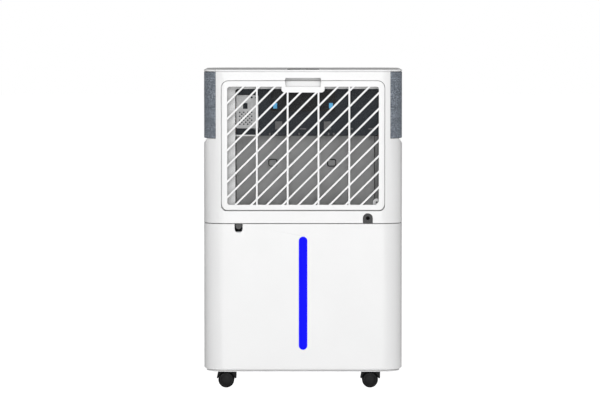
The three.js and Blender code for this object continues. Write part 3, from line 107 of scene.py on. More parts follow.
def make_studio():
    middle = (0, 0, HEIGHT / 2)
    area_light("front_softbox", (0, -3.5, 0.25), middle, 1.5, 5.25)
    area_light("high_softbox", (0, -2.2, 3.0), middle, 1.8, 11.0, 1.2)
    area_light("back_softbox", (0, 3.4, 1.4), middle, 1.6, 2.4, mirrored=False)

    world = bpy.data.worlds.new("studio")
    bpy.context.scene.world = world
    world.use_nodes = True
    tree = world.node_tree
    tree.nodes.clear()
    seen = tree.nodes.new("ShaderNodeBackground")
    seen.inputs["Color"].default_value = (1, 1, 1, 1)
    fill = tree.nodes.new("ShaderNodeBackground")
    fill.inputs["Color"].default_value = (1, 1, 1, 1)
    fill.inputs["Strength"].default_value = 0.05
    path = tree.nodes.new("ShaderNodeLightPath")
    mix = tree.nodes.new("ShaderNodeMixShader")
    output = tree.nodes.new("ShaderNodeOutputWorld")
    tree.links.new(path.outputs["Is Camera Ray"], mix.inputs[0])
    tree.links.new(fill.outputs[0], mix.inputs[1])
    tree.links.new(seen.outputs[0], mix.inputs[2])
    tree.links.new(mix.outputs[0], output.inputs[0])

    bpy.ops.mesh.primitive_plane_add(size=40, location=(0, 0, LOW.z - 0.0002))
    floor = bpy.context.object
    floor.name = "floor"
    floor.visible_glossy = False
    pale = Look("pale_floor", (0.25, 0.25, 0.25), 0.9)
    pale.shader.inputs["Emission Color"].default_value = (1, 1, 1, 1)
    pale.shader.inputs["Emission Strength"].default_value = 1.0
    pale.vary(0.02, scale=3)
    floor.data.materials.append(pale.material)

    view = bpy.context.scene.view_settings
    view.view_transform = "Standard"
    view.look = "None"


# ---------------------------------------------------------------- materials
class Look:
    """A procedural material, built up from one Principled shader. Scales are in features per metre."""

    def __init__(self, name, colour, roughness, metallic=0.0):
        self.material = bpy.data.materials.new(name)
        self.material.use_nodes = True
        self.tree = self.material.node_tree
        self.shader = self.tree.nodes["Principled BSDF"]
        self.colour = colour
        self.roughness = roughness
        self.shader.inputs["Base Color"].default_value = (*colour, 1)
        self.shader.inputs["Roughness"].default_value = roughness
        self.shader.inputs["Metallic"].default_value = metallic
        self.place = self.node("ShaderNodeTexCoord").outputs["Object"]
        self.height = None

    def node(self, kind, **values):
        made = self.tree.nodes.new(kind)
        for key, value in values.items():
            setattr(made, key, value)
        return made

    def link(self, source, target):
        self.tree.links.new(source, target)

    def noise(self, scale, detail=3.0, rough=0.55, stretch=None):
        made = self.node("ShaderNodeTexNoise")
        made.inputs["Scale"].default_value = scale
        made.inputs["Detail"].default_value = detail
        made.inputs["Roughness"].default_value = rough
        place = self.place
        if stretch:
            mapping = self.node("ShaderNodeMapping")
            mapping.inputs["Scale"].default_value = stretch
            self.link(self.place, mapping.inputs["Vector"])
            place = mapping.outputs["Vector"]
        self.link(place, made.inputs["Vector"])
        return made.outputs["Fac"]

    def ramp(self, source, stops):
        made = self.node("ShaderNodeValToRGB")
        elements = made.color_ramp.elements
        while len(elements) < len(stops):
            elements.new(0.5)
        for element, (position, colour) in zip(elements, stops):
            element.position = position
            element.color = (*colour, 1)
        self.link(source, made.inputs["Fac"])
        return made.outputs["Color"]

    def paint(self, colour_output):
        self.link(colour_output, self.shader.inputs["Base Color"])
        return self

    def vary(self, amount, scale=14):
        """Slow drift of the colour, lighter and darker by amount."""
        dark = tuple(c * (1 - amount) for c in self.colour)
        light = tuple(min(1, c * (1 + amount)) for c in self.colour)
        return self.paint(self.ramp(self.noise(scale, 4), [(0.3, dark), (0.7, light)]))

    def vary_roughness(self, amount, scale=60):
        spread = self.node("ShaderNodeMapRange")
        spread.inputs["To Min"].default_value = self.roughness - amount
        spread.inputs["To Max"].default_value = self.roughness + amount
        self.link(self.noise(scale), spread.inputs["Value"])
        self.link(spread.outputs["Result"], self.shader.inputs["Roughness"])
        return self

    def bump(self, source, strength, distance):
        made = self.node("ShaderNodeBump")
        made.inputs["Strength"].default_value = strength
        made.inputs["Distance"].default_value = distance
        self.link(source, made.inputs["Height"])
        if self.height is not None:
            self.link(self.height, made.inputs["Normal"])
        self.height = made.outputs["Normal"]
        self.link(self.height, self.shader.inputs["Normal"])
        return self

    def shade_corners(self, reach, depth):
        """Painted shade: darkens the colour near other surfaces within reach, down to depth in a tight
        corner, where less light falls.
        """
        open_sky = self.node("ShaderNodeAmbientOcclusion", samples=8)
        open_sky.inputs["Distance"].default_value = reach
        spread = self.node("ShaderNodeMapRange")
        spread.inputs["From Min"].default_value = 0.3
        spread.inputs["From Max"].default_value = 0.9
        spread.inputs["To Min"].default_value = depth
        self.link(open_sky.outputs["AO"], spread.inputs["Value"])
        mix = self.node("ShaderNodeVectorMath", operation="SCALE")
        self.link(self.shader.inputs["Base Color"].links[0].from_socket, mix.inputs[0])
        self.link(spread.outputs["Result"], mix.inputs["Scale"])
        return self.paint(mix.outputs[0])

    def math(self, operation, first, second=None):
        made = self.node("ShaderNodeMath", operation=operation)
        for socket, value in zip(made.inputs, (first, second)):
            if value is None:
                continue
            if isinstance(value, (int, float)):
                socket.default_value = value
            else:
                self.link(value, socket)
        return made.outputs[0]


def moulded(name, colour, roughness, grain=0.25, specular=0.5):
    """Moulded plastic: fine spark texture, faint flow marks, drifting gloss."""
    look = Look(name, colour, roughness)
    look.vary(0.012)
    look.vary_roughness(0.05)
    look.bump(look.noise(2600, 2), grain, 0.00004)
    look.bump(look.noise(9, 2, stretch=(1, 1, 0.3)), 0.05, 0.0006)
    look.shader.inputs["Specular IOR Level"].default_value = specular
    return look


def woven(name):
    """Heathered plain weave, laid out along the cloth's own threads."""
    look = Look(name, (0.21, 0.25, 0.30), 0.92)
    layout = look.node("ShaderNodeUVMap", uv_map="threads").outputs["UV"]
    split = look.node("ShaderNodeSeparateXYZ")
    look.link(layout, split.inputs[0])
    threads_per_metre = 1150
    warp = look.math("MULTIPLY", split.outputs["X"], threads_per_metre)
    weft = look.math("MULTIPLY", split.outputs["Y"], threads_per_metre)

    cell = look.node("ShaderNodeCombineXYZ")
    look.link(look.math("FLOOR", warp), cell.inputs["X"])
    look.link(look.math("FLOOR", weft), cell.inputs["Y"])
    fleck = look.node("ShaderNodeTexWhiteNoise", noise_dimensions="2D")
    look.link(cell.outputs[0], fleck.inputs["Vector"])

    long_cell = look.node("ShaderNodeCombineXYZ")
    look.link(look.math("FLOOR", look.math("MULTIPLY", warp, 0.4)), long_cell.inputs["X"])
    look.link(look.math("FLOOR", weft), long_cell.inputs["Y"])
    slub = look.node("ShaderNodeTexWhiteNoise", noise_dimensions="2D")
    look.link(long_cell.outputs[0], slub.inputs["Vector"])

    blend = look.math("ADD", look.math("MULTIPLY", fleck.outputs["Value"], 0.6),
                      look.math("MULTIPLY", slub.outputs["Value"], 0.35))
    drift = look.math("ADD", blend, look.math("MULTIPLY", look.noise(220, 3), 0.2))
    look.paint(look.ramp(drift, [
        (0.2, (0.060, 0.070, 0.085)),
        (0.55, (0.140, 0.160, 0.188)),
        (0.9, (0.30, 0.33, 0.37)),
    ]))
    over = look.math("ABSOLUTE", look.math("SINE", look.math("MULTIPLY", warp, math.pi)))
    under = look.math("ABSOLUTE", look.math("SINE", look.math("MULTIPLY", weft, math.pi)))
    look.bump(look.math("MULTIPLY", over, under), 0.75, 0.00025)
    look.bump(look.noise(4200, 2), 0.35, 0.00008)
    look.shader.inputs["Specular IOR Level"].default_value = 0.2
    return look


def finned_metal(name):
    """Rolled aluminium fin stock with a dull oxide film."""
    look = Look(name, (0.80, 0.80, 0.80), 0.5, 0.1)
    look.vary(0.06, 26)
    look.vary_roughness(0.09, 90)
    look.bump(look.noise(700, 2, stretch=(1, 1, 0.05)), 0.2, 0.00005)
    return look


def zinc_sheet(name):
    """Bright zinc plating with faint crystal flakes."""
    look = Look(name, (0.44, 0.44, 0.44), 0.45, 0.2)
    flakes = look.node("ShaderNodeTexVoronoi")
    flakes.inputs["Scale"].default_value = 260
    look.link(look.place, flakes.inputs["Vector"])
    look.paint(look.ramp(flakes.outputs["Distance"], [(0.1, (0.47, 0.47, 0.47)), (0.9, (0.40, 0.40, 0.405))]))
    look.vary_roughness(0.08, 120)
    return look


def bare_copper(name):
    look = Look(name, (0.63, 0.28, 0.15), 0.33, 1.0)
    look.paint(look.ramp(look.noise(55, 5), [
        (0.3, (0.36, 0.15, 0.08)), (0.55, (0.66, 0.30, 0.17)), (0.8, (0.74, 0.40, 0.25))]))
    look.vary_roughness(0.1, 160)
    return look


def painted_steel(name):
    look = Look(name, (0.022, 0.023, 0.025), 0.42)
    look.vary(0.2, 40)
    look.vary_roughness(0.08, 50)
    look.bump(look.noise(900, 3), 0.18, 0.00006)
    return look


def tyre_rubber(name):
    look = Look(name, (0.010, 0.010, 0.0105), 0.55)
    look.shader.inputs["Specular IOR Level"].default_value = 0.3
    look.vary(0.25, 90)
    look.vary_roughness(0.1, 140)
    look.bump(look.noise(2400, 2), 0.25, 0.00005)
    return look


def lit_window(name):
    """Deep blue translucent strip, lit from behind, with faint moulded streaks."""
    look = Look(name, (0.006, 0.006, 0.9), 0.3)
    streaks = look.noise(300, 3, stretch=(1, 1, 0.06))
    look.paint(look.ramp(streaks, [(0.3, (0.005, 0.005, 0.86)), (0.7, (0.007, 0.007, 0.94))]))
    look.bump(streaks, 0.04, 0.00005)
    look.shader.inputs["Emission Color"].default_value = (0.006, 0.006, 1, 1)
    look.shader.inputs["Emission Strength"].default_value = 0.6
    look.shader.inputs["Specular IOR Level"].default_value = 0.0
    return look


def frosted(name):
    look = Look(name, (0.80, 0.84, 0.86), 0.38)
    look.vary(0.02, 20)
    look.vary_roughness(0.06, 80)
    look.bump(look.noise(1800, 2), 0.2, 0.00004)
    look.shader.inputs["Transmission Weight"].default_value = 0.35
    return look


def circuit(name):
    look = Look(name, (0.01, 0.10, 0.04), 0.35)
    tracks = look.node("ShaderNodeTexBrick")
    tracks.inputs["Scale"].default_value = 260
    tracks.inputs["Mortar Size"].default_value = 0.03
    tracks.inputs["Color1"].default_value = (0.008, 0.09, 0.035, 1)
    tracks.inputs["Color2"].default_value = (0.010, 0.12, 0.05, 1)
    tracks.inputs["Mortar"].default_value = (0.05, 0.22, 0.08, 1)
    look.link(look.place, tracks.inputs["Vector"])
    look.paint(tracks.outputs["Color"])
    look.bump(tracks.outputs["Fac"], 0.3, 0.00005)
    return look


def gloss_black(name, colour, roughness=0.12):
    look = Look(name, colour, roughness)
    look.vary(0.05, 18)
    look.vary_roughness(0.03, 40)
    look.bump(look.noise(12, 2), 0.03, 0.0004)
    look.shader.inputs["Coat Weight"].default_value = 0.5
    look.shader.inputs["Coat Roughness"].default_value = 0.05
    return look


def slate_panel(name, box_front):
    """Blue-black moulding whose raised box, in front of the panel, is neutral black."""
    look = moulded(name, (0.026, 0.030, 0.036), 0.55, 0.35, 0.1)
    split = look.node("ShaderNodeSeparateXYZ")
    look.link(look.place, split.inputs[0])
    ahead = look.math("LESS_THAN", split.outputs["Y"], box_front)
    mix = look.node("ShaderNodeMix", data_type="RGBA")
    look.link(ahead, mix.inputs["Factor"])
    look.link(look.shader.inputs["Base Color"].links[0].from_socket, mix.inputs["A"])
    mix.inputs["B"].default_value = (0.018, 0.018, 0.018, 1)
    return look.paint(mix.outputs["Result"])


LOOKS = {
    # white_abs carries painted shade in its corners, recesses and grooves (shade_corners)
    "white_abs": moulded("white_abs", (0.76, 0.76, 0.76), 0.40, specular=0.9).shade_corners(0.011, 0.4),
    "grey_abs": moulded("grey_abs", (0.40, 0.405, 0.41), 0.45),
    "lid_grey": moulded("lid_grey", (0.78, 0.78, 0.78), 0.42),
    "lid_white": moulded("lid_white", (0.74, 0.74, 0.74), 0.42),
    "cap_grey": moulded("cap_grey", (0.085, 0.085, 0.085), 0.55, specular=0.3),
    "gland_grey": moulded("gland_grey", (0.05, 0.05, 0.051), 0.55, 0.3),
    "fabric": woven("fabric"),
    "gloss_panel": gloss_black("gloss_panel", (0.50, 0.505, 0.51)),
    "circuit_board": circuit("circuit_board"),
    "black_abs": moulded("black_abs", (0.012, 0.012, 0.0125), 0.5, 0.35, 0.15),
    "slate_abs": slate_panel("slate_abs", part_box("coil_baffle")[0].y + 0.004),
    "zinc_plate": zinc_sheet("zinc_plate"),
    "aluminium_fins": finned_metal("aluminium_fins"),
    "copper": bare_copper("copper"),
    "black_steel": painted_steel("black_steel"),
    "rubber": tyre_rubber("rubber"),
    "blue_window": lit_window("blue_window"),
    "clear_plastic": frosted("clear_plastic"),
    "filter_mesh": moulded("filter_mesh", (0.16, 0.165, 0.17), 0.7, 0.2),
    "cyan_tab": moulded("cyan_tab", (0.09, 0.45, 0.80), 0.5),
    "pad_grey": moulded("pad_grey", (0.13, 0.13, 0.13), 0.6),
    "dash_grey": moulded("dash_grey", (0.11, 0.11, 0.115), 0.6),
    "symbol_white": moulded("symbol_white", (0.75, 0.76, 0.77), 0.5),
}


# ---------------------------------------------------------------- pieces
def piece(name, mesh, body, look, replaces=(), smooth=True):
    """A finished mesh piece that rides a body and look."""
    made = bpy.data.objects.new(name, mesh)
    bpy.context.scene.collection.objects.link(made)
    mesh.polygons.foreach_set("use_smooth", [smooth] * len(mesh.polygons))
    mesh.materials.append(LOOKS[look].material)
    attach(made, body)
    if replaces:
        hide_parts(*replaces)
    return made


def mesh_of(name, vertices, faces):
    mesh = bpy.data.meshes.new(name)
    mesh.from_pydata([tuple(v) for v in vertices], [], faces)
    mesh.update()
    return mesh


def round_edges(made, width, segments=2, angle=30):
    bevel = made.modifiers.new("round_edges", "BEVEL")
    bevel.width = width
    bevel.segments = segments
    bevel.limit_method = "ANGLE"
    bevel.angle_limit = math.radians(angle)
    bevel.harden_normals = True
    bevel.use_clamp_overlap = False


def finish_node(name, look, width=0.0004, segments=2):
    """Rounds a CAD node's edges and gives it its surface."""
    made = nodes[name]
    mesh = made.data
    mesh.polygons.foreach_set("use_smooth", [True] * len(mesh.polygons))
    weld = made.modifiers.new("weld", "WELD")
    weld.merge_threshold = 2e-6
    if width:
        round_edges(made, width, segments)
    normals = made.modifiers.new("normals", "WEIGHTED_NORMAL")
    normals.keep_sharp = True
    normals.weight = 80
    mesh.materials.clear()
    mesh.materials.append(LOOKS[look].material)


def box_mesh(name, low, high):
    (x0, y0, z0), (x1, y1, z1) = low, high
    corners = [(x, y, z) for z in (z0, z1) for x, y in ((x0, y0), (x1, y0), (x1, y1), (x0, y1))]
    faces = [(3, 2, 1, 0), (4, 5, 6, 7), (0, 1, 5, 4), (1, 2, 6, 5), (2, 3, 7, 6), (3, 0, 4, 7)]
    return mesh_of(name, corners, faces)


def block_piece(name, low, high, body, look, width=0.0003):
    made = piece(name, box_mesh(name, low, high), body, look)
    round_edges(made, width)
    return made


def lathe_mesh(name, profile, centre, axis="Y", sides=64):
    """Turns (radius, distance) points about an axis through centre. The profile ends on the axis."""
    vertices, rings = [], []
    for radius, along in profile:
        count = sides if radius > 0 else 1
        ring = []
        for i in range(count):
            angle = 2 * math.pi * i / sides
            u, v = radius * math.cos(angle), radius * math.sin(angle)
            offset = {"X": (along, u, v), "Y": (u, along, v), "Z": (u, v, along)}[axis]
            ring.append(len(vertices))
            vertices.append(Vector(centre) + Vector(offset))
        rings.append(ring)
    faces = []
    for first, second in zip(rings, rings[1:]):
        for i in range(sides):
            j = (i + 1) % sides
            a, b = len(first), len(second)
            face = list(dict.fromkeys([first[i % a], first[j % a], second[j % b], second[i % b]]))
            if len(face) > 2:
                faces.append(face)
    mesh = mesh_of(name, vertices, faces)
    tidy = bmesh.new()
    tidy.from_mesh(mesh)
    bmesh.ops.recalc_face_normals(tidy, faces=tidy.faces)
    tidy.to_mesh(mesh)
    tidy.free()
    return mesh


def tube_mesh(name, points, radius, sides=12):
    """A round tube through points, closed at both ends."""
    curve = bpy.data.curves.new(name, "CURVE")
    curve.dimensions = "3D"
    curve.bevel_depth = radius
    curve.bevel_resolution = sides // 4
    curve.use_fill_caps = True
    spline = curve.splines.new("POLY")
    spline.points.add(len(points) - 1)
    for target, point in zip(spline.points, points):
        target.co = (*point, 1)
    holder = bpy.data.objects.new(name, curve)
    mesh = bpy.data.meshes.new_from_object(holder)
    bpy.data.objects.remove(holder)
    return mesh


def circle_points(x, y, radius, sides=16, start=0.0):
    turn = [start + 2 * math.pi * i / sides for i in range(sides)]
    return [(x + radius * math.cos(a), y + radius * math.sin(a)) for a in turn]


def rect_points(x0, y0, x1, y1, radius=0.0, steps=5):
    if not radius:
        return [(x0, y0), (x1, y0), (x1, y1), (x0, y1)]
    centres = [(x1 - radius, y1 - radius), (x0 + radius, y1 - radius),
               (x0 + radius, y0 + radius), (x1 - radius, y0 + radius)]
    points = []
    for quarter, (cx, cy) in enumerate(centres):
        for i in range(steps + 1):
            angle = (quarter + i / steps) * math.pi / 2
            points.append((cx + radius * math.cos(angle), cy + radius * math.sin(angle)))
    return points


def plate_mesh(name, outlines, y0, y1):
    """A flat plate facing -Y, from an outline and its holes in (x, z), between y0 and y1."""
    curve = bpy.data.curves.new(name, "CURVE")
    curve.dimensions = "2D"
    curve.fill_mode = "BOTH"
    curve.extrude = (y1 - y0) / 2
    for outline in outlines:
        spline = curve.splines.new("POLY")
        spline.points.add(len(outline) - 1)
        spline.use_cyclic_u = True
        for target, (x, z) in zip(spline.points, outline):
            target.co = (x, z, 0, 1)
    holder = bpy.data.objects.new(name, curve)
    mesh = bpy.data.meshes.new_from_object(holder)
    bpy.data.objects.remove(holder)
    for vertex in mesh.vertices:
        x, z, w = vertex.co
        vertex.co = (x, (y0 + y1) / 2 - w, z)
    tidy = bmesh.new()
    tidy.from_mesh(mesh)
    bmesh.ops.remove_doubles(tidy, verts=tidy.verts, dist=1e-6)
    bmesh.ops.recalc_face_normals(tidy, faces=tidy.faces)
    tidy.to_mesh(mesh)
    tidy.free()
    return mesh


# ---------------------------------------------------------------- fabric side covers
def wrap_path(side, node, inset, narrowing, steps):
    """Plan path of a side panel, front corner to back corner, moved in by inset and narrowed in X."""
    low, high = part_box(node)
    inner_x = min(abs(low.x), abs(high.x))
    radius = CORNER_RADIUS - inset
    centre_x = WIDTH / 2 - CORNER_RADIUS - narrowing
    centre_y = BACK - CORNER_RADIUS
    start = math.asin((inner_x - centre_x) / radius)
    turn = [start + (math.pi / 2 - start) * i / steps for i in range(steps + 1)]
    front = [(centre_x + radius * math.sin(a), -centre_y - radius * math.cos(a)) for a in turn]
    straight = int(2 * centre_y / 0.0016)
    x = centre_x + radius
    middle = [(x, -centre_y + 2 * centre_y * i / straight) for i in range(1, straight)]
    back = [(px, -py) for px, py in reversed(front)]
    return [(side * px, py) for px, py in front + middle + back]


def ring_prism(name, outer, inner, z0, z1):
    """Closed wall between two plan paths of equal length."""
    count = len(outer)
    vertices = [(x, y, z) for z in (z0, z1) for path in (outer, inner) for x, y in path]
    outer_low, inner_low, outer_high, inner_high = (range(i * count, (i + 1) * count) for i in range(4))
    faces = []
    for i in range(count - 1):
        faces.append((outer_low[i], outer_low[i + 1], outer_high[i + 1], outer_high[i]))
        faces.append((inner_low[i + 1], inner_low[i], inner_high[i], inner_high[i + 1]))
        faces.append((inner_low[i], inner_low[i + 1], outer_low[i + 1], outer_low[i]))
        faces.append((outer_high[i], outer_high[i + 1], inner_high[i + 1], inner_high[i]))
    faces.append((inner_low[0], outer_low[0], outer_high[0], inner_high[0]))
    last = count - 1
    faces.append((outer_low[last], inner_low[last], inner_high[last], outer_high[last]))
    mesh = mesh_of(name, vertices, faces)
    tidy = bmesh.new()
    tidy.from_mesh(mesh)
    bmesh.ops.recalc_face_normals(tidy, faces=tidy.faces)
    tidy.to_mesh(mesh)
    tidy.free()
    return mesh


def fabric_cover(side, label):
    """Stiff board with a woven cover stretched over it and rolled under at its edges."""
    node = f"side_panel_{label}"
    low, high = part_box(node)
    cloth = 0.0006
    roll = 0.0013
    path = wrap_path(side, node, 0, 0, 14)
    lengths = [0.0]
    for (ax, ay), (bx, by) in zip(path, path[1:]):
        lengths.append(lengths[-1] + math.hypot(bx - ax, by - ay))
    total = lengths[-1]
    height = high.z - low.z
    rows = 54

    def edge_steps(span, count):
        """Distances along a span, closer together near its two ends."""
        ends = [0, 0.0003, 0.0007, roll]
        middle = [roll + (span - 2 * roll) * i / count for i in range(1, count)]
        return ends + middle + [span - e for e in reversed(ends)]

    def sample(distance):
        """Point of the path and its outward direction at a distance along it."""
        i = max(k for k, length in enumerate(lengths[:-1]) if length <= distance)
        share = (distance - lengths[i]) / (lengths[i + 1] - lengths[i])
        (ax, ay), (bx, by) = path[i], path[i + 1]
        direction = Vector((bx - ax, by - ay)).normalized()
        outward = Vector((direction.y, -direction.x)) * (1 if side > 0 else -1)
        return Vector((ax + (bx - ax) * share, ay + (by - ay) * share)), outward

    def drop(distance, span):
        """How far the cover falls back near an edge, as a quarter round."""
        near = min(distance, span - distance)
        if near >= roll:
            return 0.0
        return roll - math.sqrt(roll * roll - (roll - near) ** 2)

    random.seed(11 + side)
    columns = edge_steps(total, 110)
    levels = edge_steps(height, rows)
    vertices, layout = [], []
    for u in columns:
        point, outward = sample(min(u, total - 1e-9))
        for v in levels:
            back = drop(u, total) + drop(v, height)
            ripple = 0.00003 * math.sin(u * 410 + 3 * math.sin(v * 90)) * math.sin(v * 350)
            place = point - outward * (0.00012 + min(back, roll) + ripple)
            vertices.append((place.x, place.y, low.z + v))
            layout.append((u, v))
    count = len(levels)
    faces = []
    for i in range(len(columns) - 1):
        for j in range(count - 1):
            a = i * count + j
            quad = (a, a + count, a + count + 1, a + 1)
            faces.append(quad if side > 0 else quad[::-1])
    mesh = mesh_of(f"fabric_cover_{label}", vertices, faces)
    threads = mesh.uv_layers.new(name="threads")
    for loop in mesh.loops:
        threads.data[loop.index].uv = layout[loop.vertex_index]
    cover = piece(f"fabric_cover_{label}", mesh, "cabinet", "fabric", [node])
    thick = cover.modifiers.new("cloth", "SOLIDIFY")
    thick.thickness = cloth
    thick.offset = -1

    outer = wrap_path(side, node, cloth + 0.0005, 0, 14)
    inner = wrap_path(side, node, 0, 0.0045, 14)
    board = piece(f"cover_board_{label}", ring_prism(
        f"cover_board_{label}", outer, inner, low.z + 0.0012, high.z - 0.0012),
        "cabinet", "cap_grey", smooth=False)
    return cover


# ---------------------------------------------------------------- coils
def fin_stack(name, node, pitch, thickness, wave, seed):
    """Upright fins side by side, wavy from front to back so that none can be seen past. A few are bent."""
    random.seed(seed)
    low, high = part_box(node)
    span = high.x - low.x - thickness - wave
    depth = high.y - low.y
    count = int(span / pitch)
    stations = [(0, 0), (1 / 3, wave), (2 / 3, 0), (1, wave)]
    levels = [low.z + (high.z - low.z) * i / 6 for i in range(7)]
    vertices, faces = [], []
    for i in range(count + 1):
        start = i * span / count
        bend = random.uniform(-0.08, 0.08) * MM
        if random.random() < 0.05:
            bend *= 3
        phase = random.uniform(0, 6)
        first = len(vertices)
        for z in levels:
            lean = bend * math.sin((z - low.z) * 40 + phase)
            lean = max(-start, min(lean, span - start))
            x = low.x + start
            left = [(x + lean * (1 - share) + offset, low.y + share * depth, z) for share, offset in stations]
            vertices += left + [(px + thickness, py, pz) for px, py, pz in reversed(left)]
        top = first + 8 * (len(levels) - 1)
        for a, b in ((0, 7), (1, 6), (2, 5)):
            faces.append((first + a, first + b, first + b - 1, first + a + 1))
            faces.append((top + a, top + a + 1, top + b - 1, top + b))
        for step in range(len(levels) - 1):
            base = first + 8 * step
            for k in range(8):
                m = (k + 1) % 8
                faces.append((base + k, base + m, base + m + 8, base + k + 8))
    mesh = mesh_of(name, vertices, faces)
    mesh.flip_normals()
    return piece(name, mesh, "cabinet", "aluminium_fins", [node], smooth=False)


TUBE_RADIUS = 0.003
TUBE_PITCH = 0.018
LOWEST_TUBE = 0.011  # above the coil's lower face


def coil_tubes(name, node, rows):
    """Level copper tubes that thread the fins, in the back half of the coil."""
    low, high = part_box(node)
    y = low.y + 0.75 * (high.y - low.y)
    for row in range(rows):
        z = low.z + LOWEST_TUBE + row * TUBE_PITCH
        mesh = tube_mesh(f"{name}_{row + 1}", [(low.x, y, z), (high.x, y, z)], TUBE_RADIUS)
        piece(f"{name}_{row + 1}", mesh, "cabinet", "copper")


def coil_clip(name, x, z):
    """Small rounded wire frame pressed onto the face of the coil."""
    low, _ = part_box("evaporator_core")
    half_x, half_z, radius = 0.0072, 0.0061, 0.0036
    outline = rect_points(x - half_x, z - half_z, x + half_x, z + half_z, radius)
    inside = rect_points(x - half_x + 0.0016, z - half_z + 0.0016, x + half_x - 0.0016, z + half_z - 0.0016,
                         radius - 0.0016)
    piece(name, plate_mesh(name, [outline, inside], low.y - 0.0012, low.y - 0.0002),
          "cabinet", "black_abs", smooth=False)


# ---------------------------------------------------------------- grille and baffle details
def perforated_bracket():
    """Thin plate with a window, two holes and a staggered field of round holes, and its side flange."""
    low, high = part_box("perforated_bracket")
    front, back = low.y, low.y + 0.0012
    outline = rect_points(low.x, low.z, high.x, high.z, 0.002)
    holes = [
        rect_points(low.x + 0.0106, low.z + 0.0304, low.x + 0.0176, low.z + 0.0396),
        circle_points(low.x + 0.0242, low.z + 0.0482, 0.0016),
        circle_points(low.x + 0.0300, low.z + 0.0478, 0.0009),
    ]
    pitch, bottom = 0.0031, low.z + 0.0064
    for row in range(7):
        columns = 4 if row % 2 == 0 else 3
        for column in range(columns):
            x = low.x + 0.0055 + (column + (0 if row % 2 == 0 else 0.5)) * 2 * pitch
            holes.append(circle_points(x, bottom + row * pitch, 0.00125, 12))
    mesh = plate_mesh("perforated_bracket_plate", [outline] + holes, front, back)
    plate = piece("perforated_bracket_plate", mesh, "cabinet", "zinc_plate",
                  ["perforated_bracket"], smooth=False)
    flange = block_piece("perforated_bracket_flange", (low.x, back, low.z + 0.003),
                         (low.x + 0.0012, high.y, high.z - 0.003), "cabinet", "zinc_plate")
    return plate, flange


# Heights on the baffle, each as (low, high).
BAFFLE_STEP = 0.005
TAB_X, TAB_SPAN = 0.0435, (0.4394, 0.4481)
PAD_X, PAD_RISE, PAD_HEIGHT = 0.038, 0.0107, 0.0125
RIB_PLACES, RIB_SPAN = (-0.072, 0.0, 0.073, 0.107), (0.4065, 0.4088)
HOOK_PLACES, HOOK_SPAN = (-0.052, -0.040, -0.006, 0.006, 0.040, 0.048, 0.075), (0.3975, 0.4012)


def upright_block(name, x, half_width, span, depths, look, width=0.0003):
    """Block centred on x, between two heights, with its front and back faces in depths."""
    block_piece(name, (x - half_width, depths[0], span[0]), (x + half_width, depths[1], span[1]),
                "cabinet", look, width)


def baffle_details():
    """Tabs, pads, ribs and hooks on the baffle, the coil's rail and seal, and a ledge of the duct."""
    low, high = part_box("coil_baffle")
    coil_low, coil_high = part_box("evaporator_core")
    box_front = low.y
    panel_front = low.y + BAFFLE_STEP
    pad_low = coil_high.z + PAD_RISE
    for label, side in (("left", -1), ("right", 1)):
        upright_block(f"baffle_tab_{label}", side * TAB_X, 0.003, TAB_SPAN,
                      (box_front - 0.0012, box_front - 0.0001), "cyan_tab", 0.0004)
    for label, side in (("left", -1), ("right", 1)):
        upright_block(f"baffle_pad_{label}", side * PAD_X, 0.0055, (pad_low, pad_low + PAD_HEIGHT),
                      (panel_front - 0.0022, panel_front - 0.0016), "pad_grey")
    for i, x in enumerate(RIB_PLACES):
        upright_block(f"baffle_slot_rib_{i + 1}", x, 0.005, RIB_SPAN,
                      (panel_front - 0.0012, panel_front - 0.0001), "dash_grey")
    for i, x in enumerate(HOOK_PLACES):
        upright_block(f"baffle_hook_{i + 1}", x, 0.0012, HOOK_SPAN,
                      (panel_front - 0.002, panel_front - 0.0001), "pad_grey")
    block_piece("coil_top_rail", (coil_low.x, coil_low.y - 0.004, coil_high.z + 0.0003),
                (coil_high.x, coil_low.y - 0.0002, coil_high.z + 0.001), "cabinet", "pad_grey")
    block_piece("coil_side_seal", (coil_high.x + 0.0002, panel_front - 0.0003, coil_low.z),
                (high.x - 0.0052, panel_front + 0.0012, coil_high.z), "cabinet", "pad_grey")
    block_piece("duct_ledge", (-0.1055, panel_front - 0.0052, 0.3962),
                (-0.0735, panel_front - 0.0003, 0.3985), "cabinet", "white_abs")


def filter_mesh():
    """Net of crossed strands, welded into the filter frame."""
    low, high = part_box("filter_net")
    pitch, half = 0.0012, 0.000016
    middle = (low.y + high.y) / 2
    vertices, faces = [], []

    def strand(x0, x1, z0, z1, y):
        first = len(vertices)
        vertices.extend((x, yy, z) for z in (z0, z1) for x, yy in (
            (x0, y - half), (x1, y - half), (x1, y + half), (x0, y + half)))
        quads = [(3, 2, 1, 0), (4, 5, 6, 7), (0, 1, 5, 4), (1, 2, 6, 5), (2, 3, 7, 6), (3, 0, 4, 7)]
        faces.extend(tuple(first + k for k in quad) for quad in quads)

    columns = int((high.x - low.x) / pitch)
    for i in range(1, columns):
        x = low.x + i * (high.x - low.x) / columns
        strand(x - half, x + half, low.z, high.z, middle - half)
    rows = int((high.z - low.z) / pitch)
    for i in range(1, rows):
        z = low.z + i * (high.z - low.z) / rows
        strand(low.x, high.x, z - half, z + half, middle + half)
    return piece("filter_mesh", mesh_of("filter_mesh", vertices, faces), "grille",
                 "filter_mesh", ["filter_net"], smooth=False)


